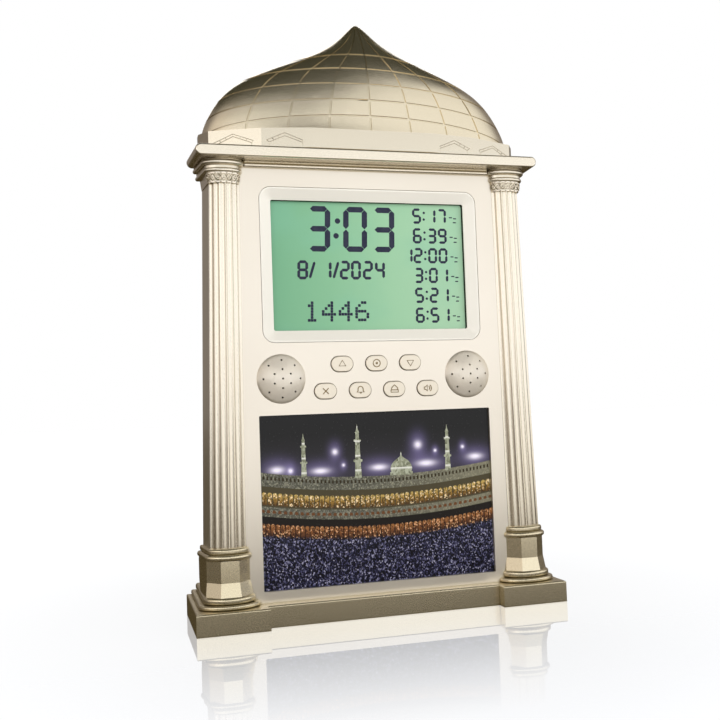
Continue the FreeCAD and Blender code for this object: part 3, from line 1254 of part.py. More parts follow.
# ---------------------------------------------------------------- rear cover and batteries
BAY_HALF_X = (BATTERY_LENGTH + BATTERY_NUB + BAY_END_SPACE) / 2
BAY_HALF_Z = BATTERY_COUNT * BATTERY_PITCH / 2 + FIT
BAY_FLOOR_Y = FACE_Y + BAY_FLOOR_DEPTH + BAY_WALL
BATTERY_Y = BAY_FLOOR_Y + FIT + BATTERY_RADIUS
DOOR_INNER_Y = BATTERY_Y + BATTERY_RADIUS + FIT
DOOR_Y = DOOR_INNER_Y + DOOR_THICKNESS
DOOR_HALF_X = BAY_HALF_X + DOOR_LAP
DOOR_HALF_Z = BAY_HALF_Z + DOOR_LAP
DOOR_AXIS_Y = DOOR_Y - DOOR_THICKNESS / 2
DOOR_AXIS_Z = BATTERY_Z - DOOR_HALF_Z + DOOR_THICKNESS / 2


def vent_slots():
    """Slots of the rear cover behind the right speaker."""
    slots = []
    for index in range(VENT_COUNT):
        z = SPEAKER_Z + (index - (VENT_COUNT - 1) / 2) * VENT_PITCH
        slots.append(pill(SPEAKER_X, z, VENT_LENGTH, VENT_WIDTH, COVER_Y - 1, REAR_Y + 1))
    return slots


def rear_cover():
    """Flat cover with vents and a battery bay that stands out behind it."""
    low = PLINTH_HEIGHT + PANEL_WALL + FIT
    high = CORNICE_Z - PANEL_WALL - FIT
    plate = case_block(SIDE_WALL + FIT, COVER_Y, REAR_Y, low, high)
    z = BATTERY_Z
    bay_x = BAY_HALF_X + BAY_WALL
    bay_z = BAY_HALF_Z + BAY_WALL
    bay = block(-bay_x, bay_x, BAY_FLOOR_Y - BAY_WALL, COVER_Y, z - bay_z, z + bay_z)
    rim_x = DOOR_HALF_X + FIT + DOOR_RIM
    rim_z = DOOR_HALF_Z + FIT + DOOR_RIM
    hump = round_plate(-rim_x, rim_x, z - rim_z, z + rim_z, HUMP_CORNER, COVER_Y, DOOR_Y)
    hump_edges = [e for e in hump.Edges if e.BoundBox.YMin > DOOR_Y - 0.01]
    hump = hump.makeFillet(HUMP_EDGE_ROUND, hump_edges)
    body = plate.multiFuse([bay, hump])
    gap_x = DOOR_HALF_X + FIT
    gap_z = DOOR_HALF_Z + FIT
    pin = DOOR_HALF_X + FIT + DOOR_PIN_LENGTH
    notch_y = DOOR_Y + THUMB_NOTCH_RADIUS - THUMB_NOTCH_DEPTH
    cuts = [block(-BAY_HALF_X, BAY_HALF_X, BAY_FLOOR_Y, DOOR_Y + 1, z - BAY_HALF_Z, z + BAY_HALF_Z),
            block(-gap_x, gap_x, DOOR_INNER_Y, DOOR_Y + 1, z - gap_z, z + gap_z),
            rod(DOOR_PIN_RADIUS + DOOR_PIN_FIT, 2 * pin, V(-pin, DOOR_AXIS_Y, DOOR_AXIS_Z), X_AXIS),
            rod(THUMB_NOTCH_RADIUS, gap_z, V(0, notch_y, z), Z_AXIS)]
    for x, zz in rear_screw_places():
        cuts.append(rod(SCREW_RADIUS + FIT, 2 * REAR_COVER_THICKNESS, V(x, COVER_Y - 1, zz)))
    vents = vent_slots()
    cuts += vents + [mirrored(item) for item in vents]
    return body.cut(Part.makeCompound(cuts)).removeSplitter()


def rear_screws():
    """Six screws of the rear cover."""
    length = REAR_COVER_THICKNESS + REAR_SCREW_GRIP
    head_y = REAR_Y + SCREW_HEAD_HEIGHT
    return Part.makeCompound([screw(V(x, head_y, z), -Y_AXIS, length) for x, z in rear_screw_places()])


def battery_door():
    """Door that swings down on two pins at its lower edge."""
    top = BATTERY_Z + DOOR_HALF_Z
    plate = block(-DOOR_HALF_X, DOOR_HALF_X, DOOR_INNER_Y, DOOR_Y, DOOR_AXIS_Z, top)
    edge = rod(DOOR_THICKNESS / 2, 2 * DOOR_HALF_X, V(-DOOR_HALF_X, DOOR_AXIS_Y, DOOR_AXIS_Z), X_AXIS)
    reach = DOOR_HALF_X + DOOR_PIN_LENGTH
    pins = rod(DOOR_PIN_RADIUS, 2 * reach, V(-reach, DOOR_AXIS_Y, DOOR_AXIS_Z), X_AXIS)
    ridges = []
    for index in range(RIDGE_COUNT):
        z = top - RIDGE_START - RIDGE_PITCH * index
        ridges.append(rod(RIDGE_RADIUS, 2 * RIDGE_HALF, V(-RIDGE_HALF, DOOR_Y, z), X_AXIS))
    return fused([plate, edge, pins] + ridges)


def battery_places():
    """Height and direction of each cell, from the lowest: 1 where the nub points to the right."""
    places = []
    for index in range(BATTERY_COUNT):
        z = BATTERY_Z + (index - (BATTERY_COUNT - 1) / 2) * BATTERY_PITCH
        places.append((z, 1 if index % 2 == 0 else -1))
    return places


def battery(z, way):
    """Round cell that lies along X."""
    nub_tip = BAY_HALF_X - CONTACT_THICKNESS
    start = nub_tip - BATTERY_NUB - BATTERY_LENGTH
    can = rod(BATTERY_RADIUS, BATTERY_LENGTH, V(start, BATTERY_Y, z), X_AXIS)
    can = can.makeChamfer(BATTERY_CHAMFER, can.Edges[0::2])
    nub = rod(BATTERY_NUB_RADIUS, BATTERY_NUB, V(nub_tip - BATTERY_NUB, BATTERY_Y, z), X_AXIS)
    cell = can.fuse(nub)
    return cell if way > 0 else mirrored(cell)


def bent_coil(length):
    """Coil spring along Z, of straight runs with mitred corners."""
    steps = round(SPRING_TURNS * SPRING_SIDES)
    points = []
    for step in range(steps + 1):
        angle = 2 * math.pi * step / SPRING_SIDES
        x = SPRING_RADIUS * math.cos(angle)
        y = SPRING_RADIUS * math.sin(angle)
        points.append(V(x, y, length * step / steps))
    section = []
    for corner in range(SPRING_WIRE_SIDES):
        angle = 2 * math.pi * corner / SPRING_WIRE_SIDES
        reach = SPRING_WIRE / 2
        section.append(points[0] + V(reach * math.cos(angle), 0, reach * math.sin(angle)))
    profile = Part.makePolygon(section + [section[0]])
    return Part.makePolygon(points).makePipeShell([profile], True, True, 1)


def battery_contacts():
    """A plate at both ends of each cell and a coil spring at its flat end."""
    outer = BAY_HALF_X
    inner = BAY_HALF_X - CONTACT_THICKNESS
    side = CONTACT_SIDE / 2
    spring_length = 2 * inner - BATTERY_NUB - BATTERY_LENGTH - SPRING_WIRE - 2 * SPRING_GAP
    group = []
    for z, way in battery_places():
        group.append(block(inner, outer, BATTERY_Y - side, BATTERY_Y + side, z - side, z + side))
        group.append(block(-outer, -inner, BATTERY_Y - side, BATTERY_Y + side, z - side, z + side))
        coil = bent_coil(spring_length)
        coil.rotate(V(0, 0, 0), Y_AXIS, 90)
        coil.translate(V(SPRING_WIRE / 2 + SPRING_GAP - inner, BATTERY_Y, z))
        group.append(coil if way > 0 else mirrored(coil))
    return Part.makeCompound(group)


# ---------------------------------------------------------------- all nodes
def all_parts():
    """Every node and its shape."""
    right_pedestal = fused([pedestal(), column_peg(0)])
    right_column = fused([column(), column_peg(1), column_peg(2)])
    right_capital = fused([capital(), column_peg(3)])
    right_speaker = speaker()
    parts = {
        "base_plinth": base_plinth(),
        "base_cover": base_cover(),
        "base_screws": base_screws(),
        "front_case": front_case(),
        "case_screws": case_screws(),
        "pedestal_right": right_pedestal,
        "pedestal_left": mirrored(right_pedestal),
        "column_right": right_column,
        "column_left": mirrored(right_column),
        "capital_right": right_capital,
        "capital_left": mirrored(right_capital),
        "cornice": cornice(),
        "dome_shell": dome_shell(),
        "dome_back": dome_back(),
        "dome_screws": dome_screws(),
        "top_screws": top_screws(),
        "lcd_bezel": lcd_bezel(),
        "lcd_gasket": lcd_gasket(),
        "lcd_glass": lcd_glass(),
        "lcd_contact_strip": lcd_contact_strip(),
        "lcd_backlight": lcd_backlight(),
        "main_board": main_board(),
        "button_board": button_board(),
        "board_components": board_components(),
        "board_screws": board_screws(),
        "tact_switches": tact_switches(),
        "ribbon_cable": ribbon_cable(),
        "picture_panel": picture_panel(),
        "picture_backing": picture_backing(),
        "speaker_right": right_speaker,
        "speaker_left": mirrored(right_speaker),
        "speaker_screws": speaker_screws(),
        "rear_cover": rear_cover(),
        "rear_screws": rear_screws(),
        "battery_door": battery_door(),
        "battery_contacts": battery_contacts(),
    }
    for name, x, z in button_places():
        parts[name] = button(x, z)
    for index, (z, way) in enumerate(battery_places()):
        parts[f"battery_{index + 1}"] = battery(z, way)
    return parts


os.makedirs("parts", exist_ok=True)
for node, shape in all_parts().items():
    shape.exportStep(f"parts/{node}.step")
    box = shape.BoundBox
    print(f"{node:20s} solids {len(shape.Solids):2d} valid {shape.isValid()} volume {shape.Volume:9.0f}"
          f"  y {box.YMin:7.2f} {box.YMax:7.2f}  z {box.ZMin:7.2f} {box.ZMax:7.2f}")
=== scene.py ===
# %% [markdown]
# # A dome-topped prayer time clock, dressed for a studio picture
# The clock's solids come ready made, at their real size and place, in metres.  This lesson
# gives each of them its finish, and adds what is printed, engraved or carved on them.

# %% Load the frame
import json
import math

import bpy
from mathutils import Matrix, Vector


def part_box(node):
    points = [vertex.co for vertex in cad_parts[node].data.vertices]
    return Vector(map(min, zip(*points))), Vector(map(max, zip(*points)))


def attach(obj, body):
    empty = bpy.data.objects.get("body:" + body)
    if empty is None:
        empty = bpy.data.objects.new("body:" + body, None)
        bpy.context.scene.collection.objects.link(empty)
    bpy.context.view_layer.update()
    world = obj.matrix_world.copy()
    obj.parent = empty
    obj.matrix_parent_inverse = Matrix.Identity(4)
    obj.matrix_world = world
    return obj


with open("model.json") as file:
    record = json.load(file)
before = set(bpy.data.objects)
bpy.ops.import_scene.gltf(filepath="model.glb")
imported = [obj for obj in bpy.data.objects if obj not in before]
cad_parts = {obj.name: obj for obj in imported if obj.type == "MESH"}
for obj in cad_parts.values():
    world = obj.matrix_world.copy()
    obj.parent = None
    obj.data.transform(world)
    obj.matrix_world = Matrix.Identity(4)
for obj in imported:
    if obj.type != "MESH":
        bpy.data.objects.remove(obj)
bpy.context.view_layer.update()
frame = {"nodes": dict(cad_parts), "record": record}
MM = 0.001

# %% [markdown]
# ## The camera
# A product photographer stands a little to the left of the clock and slightly below its
# middle, and rolls the camera by two degrees.  The lens is a normal one.  Yaw, pitch and roll
# are easier to read than a matrix, so the axes are worked out from them.

# %% Camera
CAMERA_PLACE = Vector((-0.1567, -0.5440, 0.1246))
CAMERA_YAW = math.radians(15.56)
CAMERA_PITCH = math.radians(2.78)
CAMERA_ROLL = math.radians(-2.03)
FOCAL_PIXELS = 914.3
IMAGE_PIXELS = 720
SENSOR_MM = 36.0


def aim_camera():
    """Adds the camera and turns it by yaw, pitch and roll."""
    forward = Vector((math.sin(CAMERA_YAW) * math.cos(CAMERA_PITCH),
                      math.cos(CAMERA_YAW) * math.cos(CAMERA_PITCH), math.sin(CAMERA_PITCH)))
    level = Vector((math.cos(CAMERA_YAW), -math.sin(CAMERA_YAW), 0))
    upright = level.cross(forward)
    right = math.cos(CAMERA_ROLL) * level + math.sin(CAMERA_ROLL) * upright
    up = -math.sin(CAMERA_ROLL) * level + math.cos(CAMERA_ROLL) * upright
    bpy.ops.object.camera_add(location=CAMERA_PLACE)
    camera = bpy.context.object
    camera.name = "camera"
    turn = Matrix((right, up, -forward)).transposed()
    camera.rotation_mode = "QUATERNION"
    camera.rotation_quaternion = turn.to_quaternion()
    camera.data.sensor_width = SENSOR_MM
    camera.data.lens = SENSOR_MM * FOCAL_PIXELS / IMAGE_PIXELS
    camera.data.clip_start = 0.01
    bpy.context.scene.camera = camera
    return camera


camera = aim_camera()
print("lens:", round(camera.data.lens, 2), "mm")

# %% [markdown]
# ## Helpers for materials
# Every finish is a small tree of nodes.  Short helpers add a node, set its plain values and
# link it, so that each finish below reads from top to bottom.  Patterns follow the Object
# coordinates, because those stay fixed to a piece when it moves.

# %% Nodes and places


def new_finish(name):
    """An empty material with its shader; returns material, tree and shader."""
    finish = bpy.data.materials.new(name)
    finish.use_nodes = True
    tree = finish.node_tree
    return finish, tree, tree.nodes["Principled BSDF"]


def add_node(tree, kind, **values):
    """A node of that kind with its settings and its unlinked inputs."""
    node = tree.nodes.new(kind)
    for key, value in values.items():
        if key in node.inputs:
            node.inputs[key].default_value = value
        else:
            setattr(node, key, value)
    return node


def object_place(tree, scale=1.0, scale_z=None):
    """Object coordinates, which are fixed to the piece, multiplied by a scale."""
    place = add_node(tree, "ShaderNodeTexCoord")
    mapping = add_node(tree, "ShaderNodeMapping")
    mapping.inputs["Scale"].default_value = (scale, scale, scale_z or scale)
    tree.links.new(place.outputs["Object"], mapping.inputs["Vector"])
    return mapping.outputs["Vector"]


def axes(tree, scale=1 / MM):
    """X, Y and Z of the object coordinates, in millimetres unless a scale says otherwise."""
    split = add_node(tree, "ShaderNodeSeparateXYZ")
    tree.links.new(object_place(tree, scale), split.inputs["Vector"])
    return split.outputs["X"], split.outputs["Y"], split.outputs["Z"]


def object_noise(tree, scale, detail=3.0, roughness=0.5):
    """Noise that is fixed to the object; scale is in features per metre."""
    noise = add_node(tree, "ShaderNodeTexNoise", Scale=scale, Detail=detail, Roughness=roughness)
    tree.links.new(object_place(tree), noise.inputs["Vector"])
    return noise.outputs["Fac"]


print("helpers ready: nodes and places")

# %% [markdown]
# A ramp turns a pattern into colours, a range fits one number to another, and a mix lays one
# colour over another.  Each of them is one node, and gets one helper.

# %% Ramps, ranges and mixes


def colour_ramp(tree, factor, stops):
    """A ramp through (position, colour) stops."""
    ramp = add_node(tree, "ShaderNodeValToRGB")
    elements = ramp.color_ramp.elements
    while len(elements) < len(stops):
        elements.new(0.5)
    for element, (position, colour) in zip(elements, stops):
        element.position = position
        element.color = (*colour, 1)
    tree.links.new(factor, ramp.inputs["Fac"])
    return ramp.outputs["Color"]


def two_tone(tree, factor, dark, light, start=0.3, end=0.7):
    """A dark tone that turns into a light one between two values of a pattern."""
    return colour_ramp(tree, factor, ((start, dark), (end, light)))


def between(tree, value, low, high, start=0.0, end=1.0, smooth=False):
    """A number that runs from low to high while the value runs from start to end."""
    spread = add_node(tree, "ShaderNodeMapRange")
    if smooth:
        spread.interpolation_type = "SMOOTHSTEP"
    for socket, number in (("From Min", start), ("From Max", end), ("To Min", low),
                           ("To Max", high)):
        spread.inputs[socket].default_value = number
    tree.links.new(value, spread.inputs["Value"])
    return spread.outputs["Result"]


def maths(tree, operation, *values):
    """One sum; plain numbers stay on the node's own sockets."""
    node = add_node(tree, "ShaderNodeMath", operation=operation)
    for socket, value in zip(node.inputs, values):
        if isinstance(value, (int, float)):
            socket.default_value = value
        else:
            tree.links.new(value, socket)
    return node.outputs[0]


def blended(tree, factor, under, over, mode="MIX"):
    """Colour over colour by a factor; each is a socket or a plain colour."""
    mix = add_node(tree, "ShaderNodeMix", data_type="RGBA", blend_type=mode)
    for socket, value in ((mix.inputs[0], factor), (mix.inputs[6], under), (mix.inputs[7], over)):
        if isinstance(value, tuple):
            socket.default_value = (*value, 1)
        elif isinstance(value, (int, float)):
            socket.default_value = value
        else:
            tree.links.new(value, socket)
    return mix.outputs[2]


print("helpers ready: ramps, ranges and mixes")

# %% [markdown]
# No real surface is equally smooth all over, so a finish gets its colour together with a
# roughness that follows its grain.  Grain that can be felt is added as a fine relief.

# %% Colour, roughness and relief


def paint(tree, shader, tone, grain, smoothest, roughest):
    """Gives the shader its colour, and a roughness that follows the grain."""
    tree.links.new(tone, shader.inputs["Base Color"])
    tree.links.new(between(tree, grain, smoothest, roughest), shader.inputs["Roughness"])


def add_bump(tree, shader, height, strength, distance):
    """Fine relief from a height."""
    bump = add_node(tree, "ShaderNodeBump", Strength=strength, Distance=distance)
    tree.links.new(height, bump.inputs["Height"])
    tree.links.new(bump.outputs["Normal"], shader.inputs["Normal"])


print("helpers ready: colour, roughness and relief")

# %% [markdown]
# ## The lacquer
# The case is moulded plastic under a champagne gold lacquer.  Tiny flakes in it behave like
# metal, and a clear coat over them gives a soft second highlight.  In corners, where less
# light gets in, an olive tone is laid into the colour: a painted shade.  An Ambient Occlusion
# node finds those corners from the shape alone, so the painted shade holds from every side.

# %% Lacquer
PATCH_SCALE, FLAKE_SCALE = 14.0, 2600.0
FLAKE_BUMP, FLAKE_DEPTH = 0.010, 0.00002
CORNER_SHADE_STRENGTH = 0.85
CORNER_SHADE_SHUT = 0.25
PROUD_START_Y, PROUD_END_Y = -17.55, -19.0
SOFT_EDGE = 0.3
COAT = 0.2


def lacquer(name, light, dark, metallic, roughness, corner_shade=None, reach=0.0022, open_share=0.85,
            raised=None, shade_below=None):
    """Sprayed metallic paint with a satin clear coat.

    Corners can get a painted shade in a colour of their own, what stands proud of the face
    can be less metallic, and what lies below a height in millimetres can get a deeper tone,
    also a painted shade.
    """
    finish, tree, shader = new_finish(name)
    _, y, z = axes(tree)
    tone = two_tone(tree, object_noise(tree, PATCH_SCALE, 2.0), dark, light, 0.35, 0.65)
    # Painted shade: below a height the tone turns deeper, as on the drum under the dome.
    if shade_below:
        top, shade_tone = shade_below
        lower = between(tree, z, 1.0, 0.0, top - SOFT_EDGE, top + SOFT_EDGE)
        tone = blended(tree, lower, tone, shade_tone)
    # Painted shade: where the occlusion finds a corner, the corner colour is laid over the tone.
    if corner_shade:
        shade_occlusion = add_node(tree, "ShaderNodeAmbientOcclusion", samples=8, Distance=reach)
        depth = between(tree, shade_occlusion.outputs["AO"], CORNER_SHADE_STRENGTH, 0.0, CORNER_SHADE_SHUT, open_share,
                        smooth=True)
        tone = blended(tree, depth, tone, corner_shade)
    grain = object_noise(tree, FLAKE_SCALE, 2.0, 0.6)
    paint(tree, shader, tone, grain, roughness - 0.03, roughness + 0.04)
    add_bump(tree, shader, grain, FLAKE_BUMP, FLAKE_DEPTH)
    shader.inputs["Metallic"].default_value = metallic
    if raised:
        tree.links.new(between(tree, y, metallic, raised, PROUD_START_Y, PROUD_END_Y),
                       shader.inputs["Metallic"])
    shader.inputs["Coat Weight"].default_value = COAT
    shader.inputs["Coat Roughness"].default_value = COAT
    return finish


print("clear coat:", COAT)

# %% [markdown]
# Each piece has a gold of its own.  The dome is light.  The foot is a deeper, yellower gold,
# a painted shade for the low parts that get less light.  The display's frame is nearly ivory
# and hardly metallic, painted light that keeps its slopes bright.  The drum below the dome is a
# shade deeper than the dome itself, a painted shade, and its height tells the two apart.

# %% Golds
GOLD, GOLD_DARK = (0.83, 0.765, 0.645), (0.80, 0.735, 0.615)
FACE_GOLD, FACE_GOLD_DARK = (0.83, 0.77, 0.675), (0.80, 0.74, 0.645)
# Painted shade: the foot's deeper, yellower gold
FOOT_SHADE_GOLD, FOOT_SHADE_GOLD_DARK = (0.82, 0.73, 0.53), (0.79, 0.70, 0.50)
DOME_GOLD, DOME_GOLD_DARK = (0.92, 0.84, 0.69), (0.90, 0.82, 0.67)
# Painted shade: the drum's deeper gold
DRUM_SHADE_GOLD = (0.72, 0.66, 0.545)
DRUM_TOP_Z = 287.8
# Painted light: the display frame's pale, hardly metallic gold keeps its slopes bright
LIT_SATIN, LIT_SATIN_DARK = (0.97, 0.94, 0.87), (0.95, 0.92, 0.85)
KEY_GOLD, KEY_GOLD_DARK = (0.84, 0.77, 0.65), (0.81, 0.74, 0.62)
# Painted shade for corners, for the dome's grooves and for the gaps round the keys
OLIVE_SHADE = (0.36, 0.28, 0.12)
GROOVE_SHADE_GOLD = (0.54, 0.45, 0.27)
KEY_GAP_SHADE = (0.09, 0.06, 0.025)
gold_lacquer = lacquer("gold_lacquer", GOLD, GOLD_DARK, 0.88, 0.23, OLIVE_SHADE)
face_lacquer = lacquer("face_lacquer", FACE_GOLD, FACE_GOLD_DARK, 0.78, 0.33, OLIVE_SHADE, raised=0.22)
foot_shade_lacquer = lacquer("foot_shade_lacquer", FOOT_SHADE_GOLD, FOOT_SHADE_GOLD_DARK, 0.90, 0.27, OLIVE_SHADE)
dome_lacquer = lacquer("dome_lacquer", DOME_GOLD, DOME_GOLD_DARK, 0.96, 0.24, GROOVE_SHADE_GOLD,
                       reach=0.0016, open_share=0.95, shade_below=(DRUM_TOP_Z, DRUM_SHADE_GOLD))
lit_satin_lacquer = lacquer("lit_satin_lacquer", LIT_SATIN, LIT_SATIN_DARK, 0.12, 0.45)
key_lacquer = lacquer("key_lacquer", KEY_GOLD, KEY_GOLD_DARK, 0.5, 0.38, KEY_GAP_SHADE, reach=0.0012)
print("lacquers:", gold_lacquer.name, key_lacquer.name)

# %% [markdown]
# ## Plastics, rubber, card and metal
# What sits behind the lacquered front is bare moulded plastic, with the fine grain that spark
# erosion leaves in a mould.  One helper makes them all, and one more makes plated metal.

# %% Plain plastics and metals
PLASTIC_SHADE, METAL_SHADE = 0.88, 0.82


def plastic(name, colour, roughness, grain_scale=900.0, grain_depth=0.00008, grain=0.15):
    """Moulded plastic with a fine spark-eroded grain."""
    finish, tree, shader = new_finish(name)
    noise = object_noise(tree, grain_scale, 4.0, 0.6)
    tone = two_tone(tree, noise, tuple(c * PLASTIC_SHADE for c in colour), colour)
    paint(tree, shader, tone, noise, roughness - 0.05, roughness + 0.08)
    add_bump(tree, shader, noise, grain, grain_depth)
    return finish


def metal(name, colour, roughness):
    """Plated metal with faint rolling marks."""
    finish, tree, shader = new_finish(name)
    noise = object_noise(tree, 600.0)
    tone = two_tone(tree, noise, tuple(c * METAL_SHADE for c in colour), colour)
    paint(tree, shader, tone, noise, roughness - 0.06, roughness + 0.08)
    shader.inputs["Metallic"].default_value = 1.0
    return finish


rear_plastic = plastic("rear_plastic", (0.50, 0.44, 0.33), 0.45)
zinc_steel = metal("zinc_steel", (0.62, 0.62, 0.60), 0.32)
nickel = metal("nickel", (0.75, 0.73, 0.68), 0.25)
# The black foam round the display is its gasket, and its black also stands for the shade in the
# window's recess: partly painted shade.
black_foam = plastic("black_foam", (0.012, 0.012, 0.010), 0.85, 1500.0, 0.0002, 0.4)
strip_rubber = plastic("strip_rubber", (0.45, 0.18, 0.38), 0.6)
light_guide = plastic("light_guide", (0.55, 0.80, 0.62), 0.3)
board_green = plastic("board_green", (0.03, 0.22, 0.08), 0.35, 400.0)
component_black = plastic("component_black", (0.03, 0.03, 0.03), 0.4)
cable_film = plastic("cable_film", (0.75, 0.75, 0.72), 0.35)
grey_card = plastic("grey_card", (0.35, 0.33, 0.30), 0.8, 1200.0)
speaker_paper = plastic("speaker_paper", (0.03, 0.03, 0.03), 0.75, 1400.0, 0.0002, 0.4)
print("plain finishes:", len(bpy.data.materials))

# %% [markdown]
# ## Battery sleeves
# A battery is a steel can in a printed plastic sleeve, mostly black with a copper band at one
# end.  The three lie along X, so a ramp on the object's X makes the two zones, and a little
# noise keeps the sleeve from looking like plain paint.

# %% Battery sleeves
COPPER_FROM_X = 9.0
COPPER = (0.50, 0.20, 0.08)
BLACK_DARK, BLACK_LIGHT = (0.012, 0.012, 0.014), (0.022, 0.022, 0.025)


def battery_sleeve():
    """Black and copper sleeve, split across the battery's length."""
    finish, tree, shader = new_finish("battery_sleeve")
    band = between(tree, axes(tree)[0], 0.0, 1.0, COPPER_FROM_X, COPPER_FROM_X + SOFT_EDGE)
    noise = object_noise(tree, 500.0)
    black = two_tone(tree, noise, BLACK_DARK, BLACK_LIGHT)
    paint(tree, shader, blended(tree, band, black, COPPER), noise, 0.22, 0.34)
    shader.inputs["Coat Weight"].default_value = 0.4
    return finish


battery_wrap = battery_sleeve()
print("made:", battery_wrap.name)

# %% [markdown]
# ## The display
# The display is a grey green glass, lit from behind by a light guide that is brighter towards
# one side.  A ramp across X gives that fall of light, and slow noise adds the faint teal
# clouds of such a cheap light guide.

# %% Display glass
GLASS_FRONT_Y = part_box("lcd_glass")[0].y
LIT_HALF_WIDTH = 61.0
DISPLAY_LIGHT = ((0.0, (0.150, 0.385, 0.220)), (0.3, (0.205, 0.450, 0.265)),
                 (0.62, (0.285, 0.525, 0.330)), (1.0, (0.345, 0.560, 0.375)))
DISPLAY_TEAL = (0.185, 0.460, 0.330)
CLOUD_SCALE, CLOUD_SHARE = 26.0, 0.30
DISPLAY_GLOW = 0.22


def display_finish():
    """Green display with uneven back light under a satin polariser."""
    finish, tree, shader = new_finish("display_green")
    across = between(tree, axes(tree)[0], 0.0, 1.0, -LIT_HALF_WIDTH, LIT_HALF_WIDTH)
    lit = colour_ramp(tree, across, DISPLAY_LIGHT)
    cloud = object_noise(tree, CLOUD_SCALE, 2.0)
    teal = between(tree, cloud, 0.0, CLOUD_SHARE, 0.48, 0.72, smooth=True)
    shown = blended(tree, teal, lit, DISPLAY_TEAL)
    paint(tree, shader, shown, object_noise(tree, 3000.0, 2.0), 0.34, 0.42)
    tree.links.new(shown, shader.inputs["Emission Color"])
    shader.inputs["Emission Strength"].default_value = DISPLAY_GLOW
    shader.inputs["Specular IOR Level"].default_value = 0.3
    return finish


display_green = display_finish()
print("glass front at y =", round(GLASS_FRONT_Y / MM, 2), "mm")

# %% [markdown]
# ## The picture under the display
# A printed night view fills the lower window: a dark sky with cold lamp light, a round court
# with lit arcades, and a crowd as small blue specks.  It is drawn by sums on X and Z in
# millimetres.  Arcades are repeated arches, lamps are soft round glows, and the crowd is
# cells.  The view is a made up one, of no real place.

# %% Parts of the picture
ARCH_BLUR, FOOT_BLUR = 0.15, 0.1


def squares(tree, a, b):
    """The sum of two squares."""
    return maths(tree, "ADD", maths(tree, "MULTIPLY", a, a), maths(tree, "MULTIPLY", b, b))


def arch_row(tree, x, z, foot, spring, half, pitch):
    """Mask of a row of round arches from a foot line up, one in each pitch."""
    turn = maths(tree, "FRACT", maths(tree, "DIVIDE", x, pitch))
    side = maths(tree, "MULTIPLY", maths(tree, "SUBTRACT", turn, 0.5), pitch)
    over = maths(tree, "MAXIMUM", maths(tree, "SUBTRACT", z, foot + spring), 0.0)
    reach = maths(tree, "SQRT", squares(tree, side, over))
    inside = between(tree, reach, 1.0, 0.0, half - ARCH_BLUR, half + ARCH_BLUR)
    above = between(tree, z, 0.0, 1.0, foot - FOOT_BLUR, foot + FOOT_BLUR)
    return maths(tree, "MULTIPLY", inside, above)


def glow(tree, x, z, lamp_x, lamp_z, radius, flat):
    """Soft round light; flat above 1 makes it wider than high."""
    aside = maths(tree, "DIVIDE", maths(tree, "SUBTRACT", x, lamp_x), radius * flat)
    above = maths(tree, "DIVIDE", maths(tree, "SUBTRACT", z, lamp_z), radius)
    return maths(tree, "EXPONENT", maths(tree, "MULTIPLY", squares(tree, aside, above), -1.0))


def cells(tree, scale, stretch):
    """A random number for each small cell; the cells are stretched upwards."""
    voronoi = add_node(tree, "ShaderNodeTexVoronoi", Scale=scale)
    tree.links.new(object_place(tree, 1.0, 1.0 / stretch), voronoi.inputs["Vector"])
    split = add_node(tree, "ShaderNodeSeparateColor")
    tree.links.new(voronoi.outputs["Color"], split.inputs["Color"])
    return split.outputs[0]


print("helpers ready: arches, glows and cells")

# %% [markdown]
# The sky is dark haze, with lamps along the horizon in a layout of their own.  Their light is
# added over the sky, each with a small white core and a wide violet halo.  A lamp's row gives
# its place, its radius and how much wider than high it looks.

# %% Sky and lamps
SKY_LOW_Z, SKY_HIGH_Z = 82.0, 108.0
SKY = ((0.0, (0.030, 0.027, 0.036)), (1.0, (0.011, 0.011, 0.012)))
LAMPS = ((-62, 88.0, 1.5, 2.0), (-54, 87.2, 1.1, 1.0), (-36, 86.2, 1.3, 2.8), (-27, 97.0, 1.3, 1.0),
         (-22, 89.0, 0.7, 1.0), (0, 86.6, 1.3, 2.8), (25, 99.0, 1.7, 1.0), (30, 87.6, 1.4, 3.0),
         (36, 95.0, 0.7, 1.0), (54, 96.5, 0.8, 1.0), (62, 90.2, 1.4, 2.4))
HALO, CORE = (0.145, 0.12, 0.28), (1.0, 0.97, 1.0)
HALO_REACH, HALO_FLAT, CORE_REACH = 4.0, 0.7, 1.25


def sky(tree, x, z):
    """Dark haze with the lamps on it."""
    picture = colour_ramp(tree, between(tree, z, 0.0, 1.0, SKY_LOW_Z, SKY_HIGH_Z), SKY)
    for lamp_x, lamp_z, radius, flat in LAMPS:
        halo = glow(tree, x, z, lamp_x, lamp_z, radius * HALO_REACH, flat * HALO_FLAT)
        picture = blended(tree, halo, picture, HALO, "ADD")
        core = glow(tree, x, z, lamp_x, lamp_z, radius * CORE_REACH, flat)
        picture = blended(tree, core, picture, CORE, "ADD")
    return picture


print("lamps on the horizon:", len(LAMPS))

# %% [markdown]
# Two storeys of lit arches run round the court, gold above and ember red below.  The light is
# brightest towards the top of an arch.  Each of the cells that fill it has a random number:
# low ones are people in the shade, and high ones are lamps.

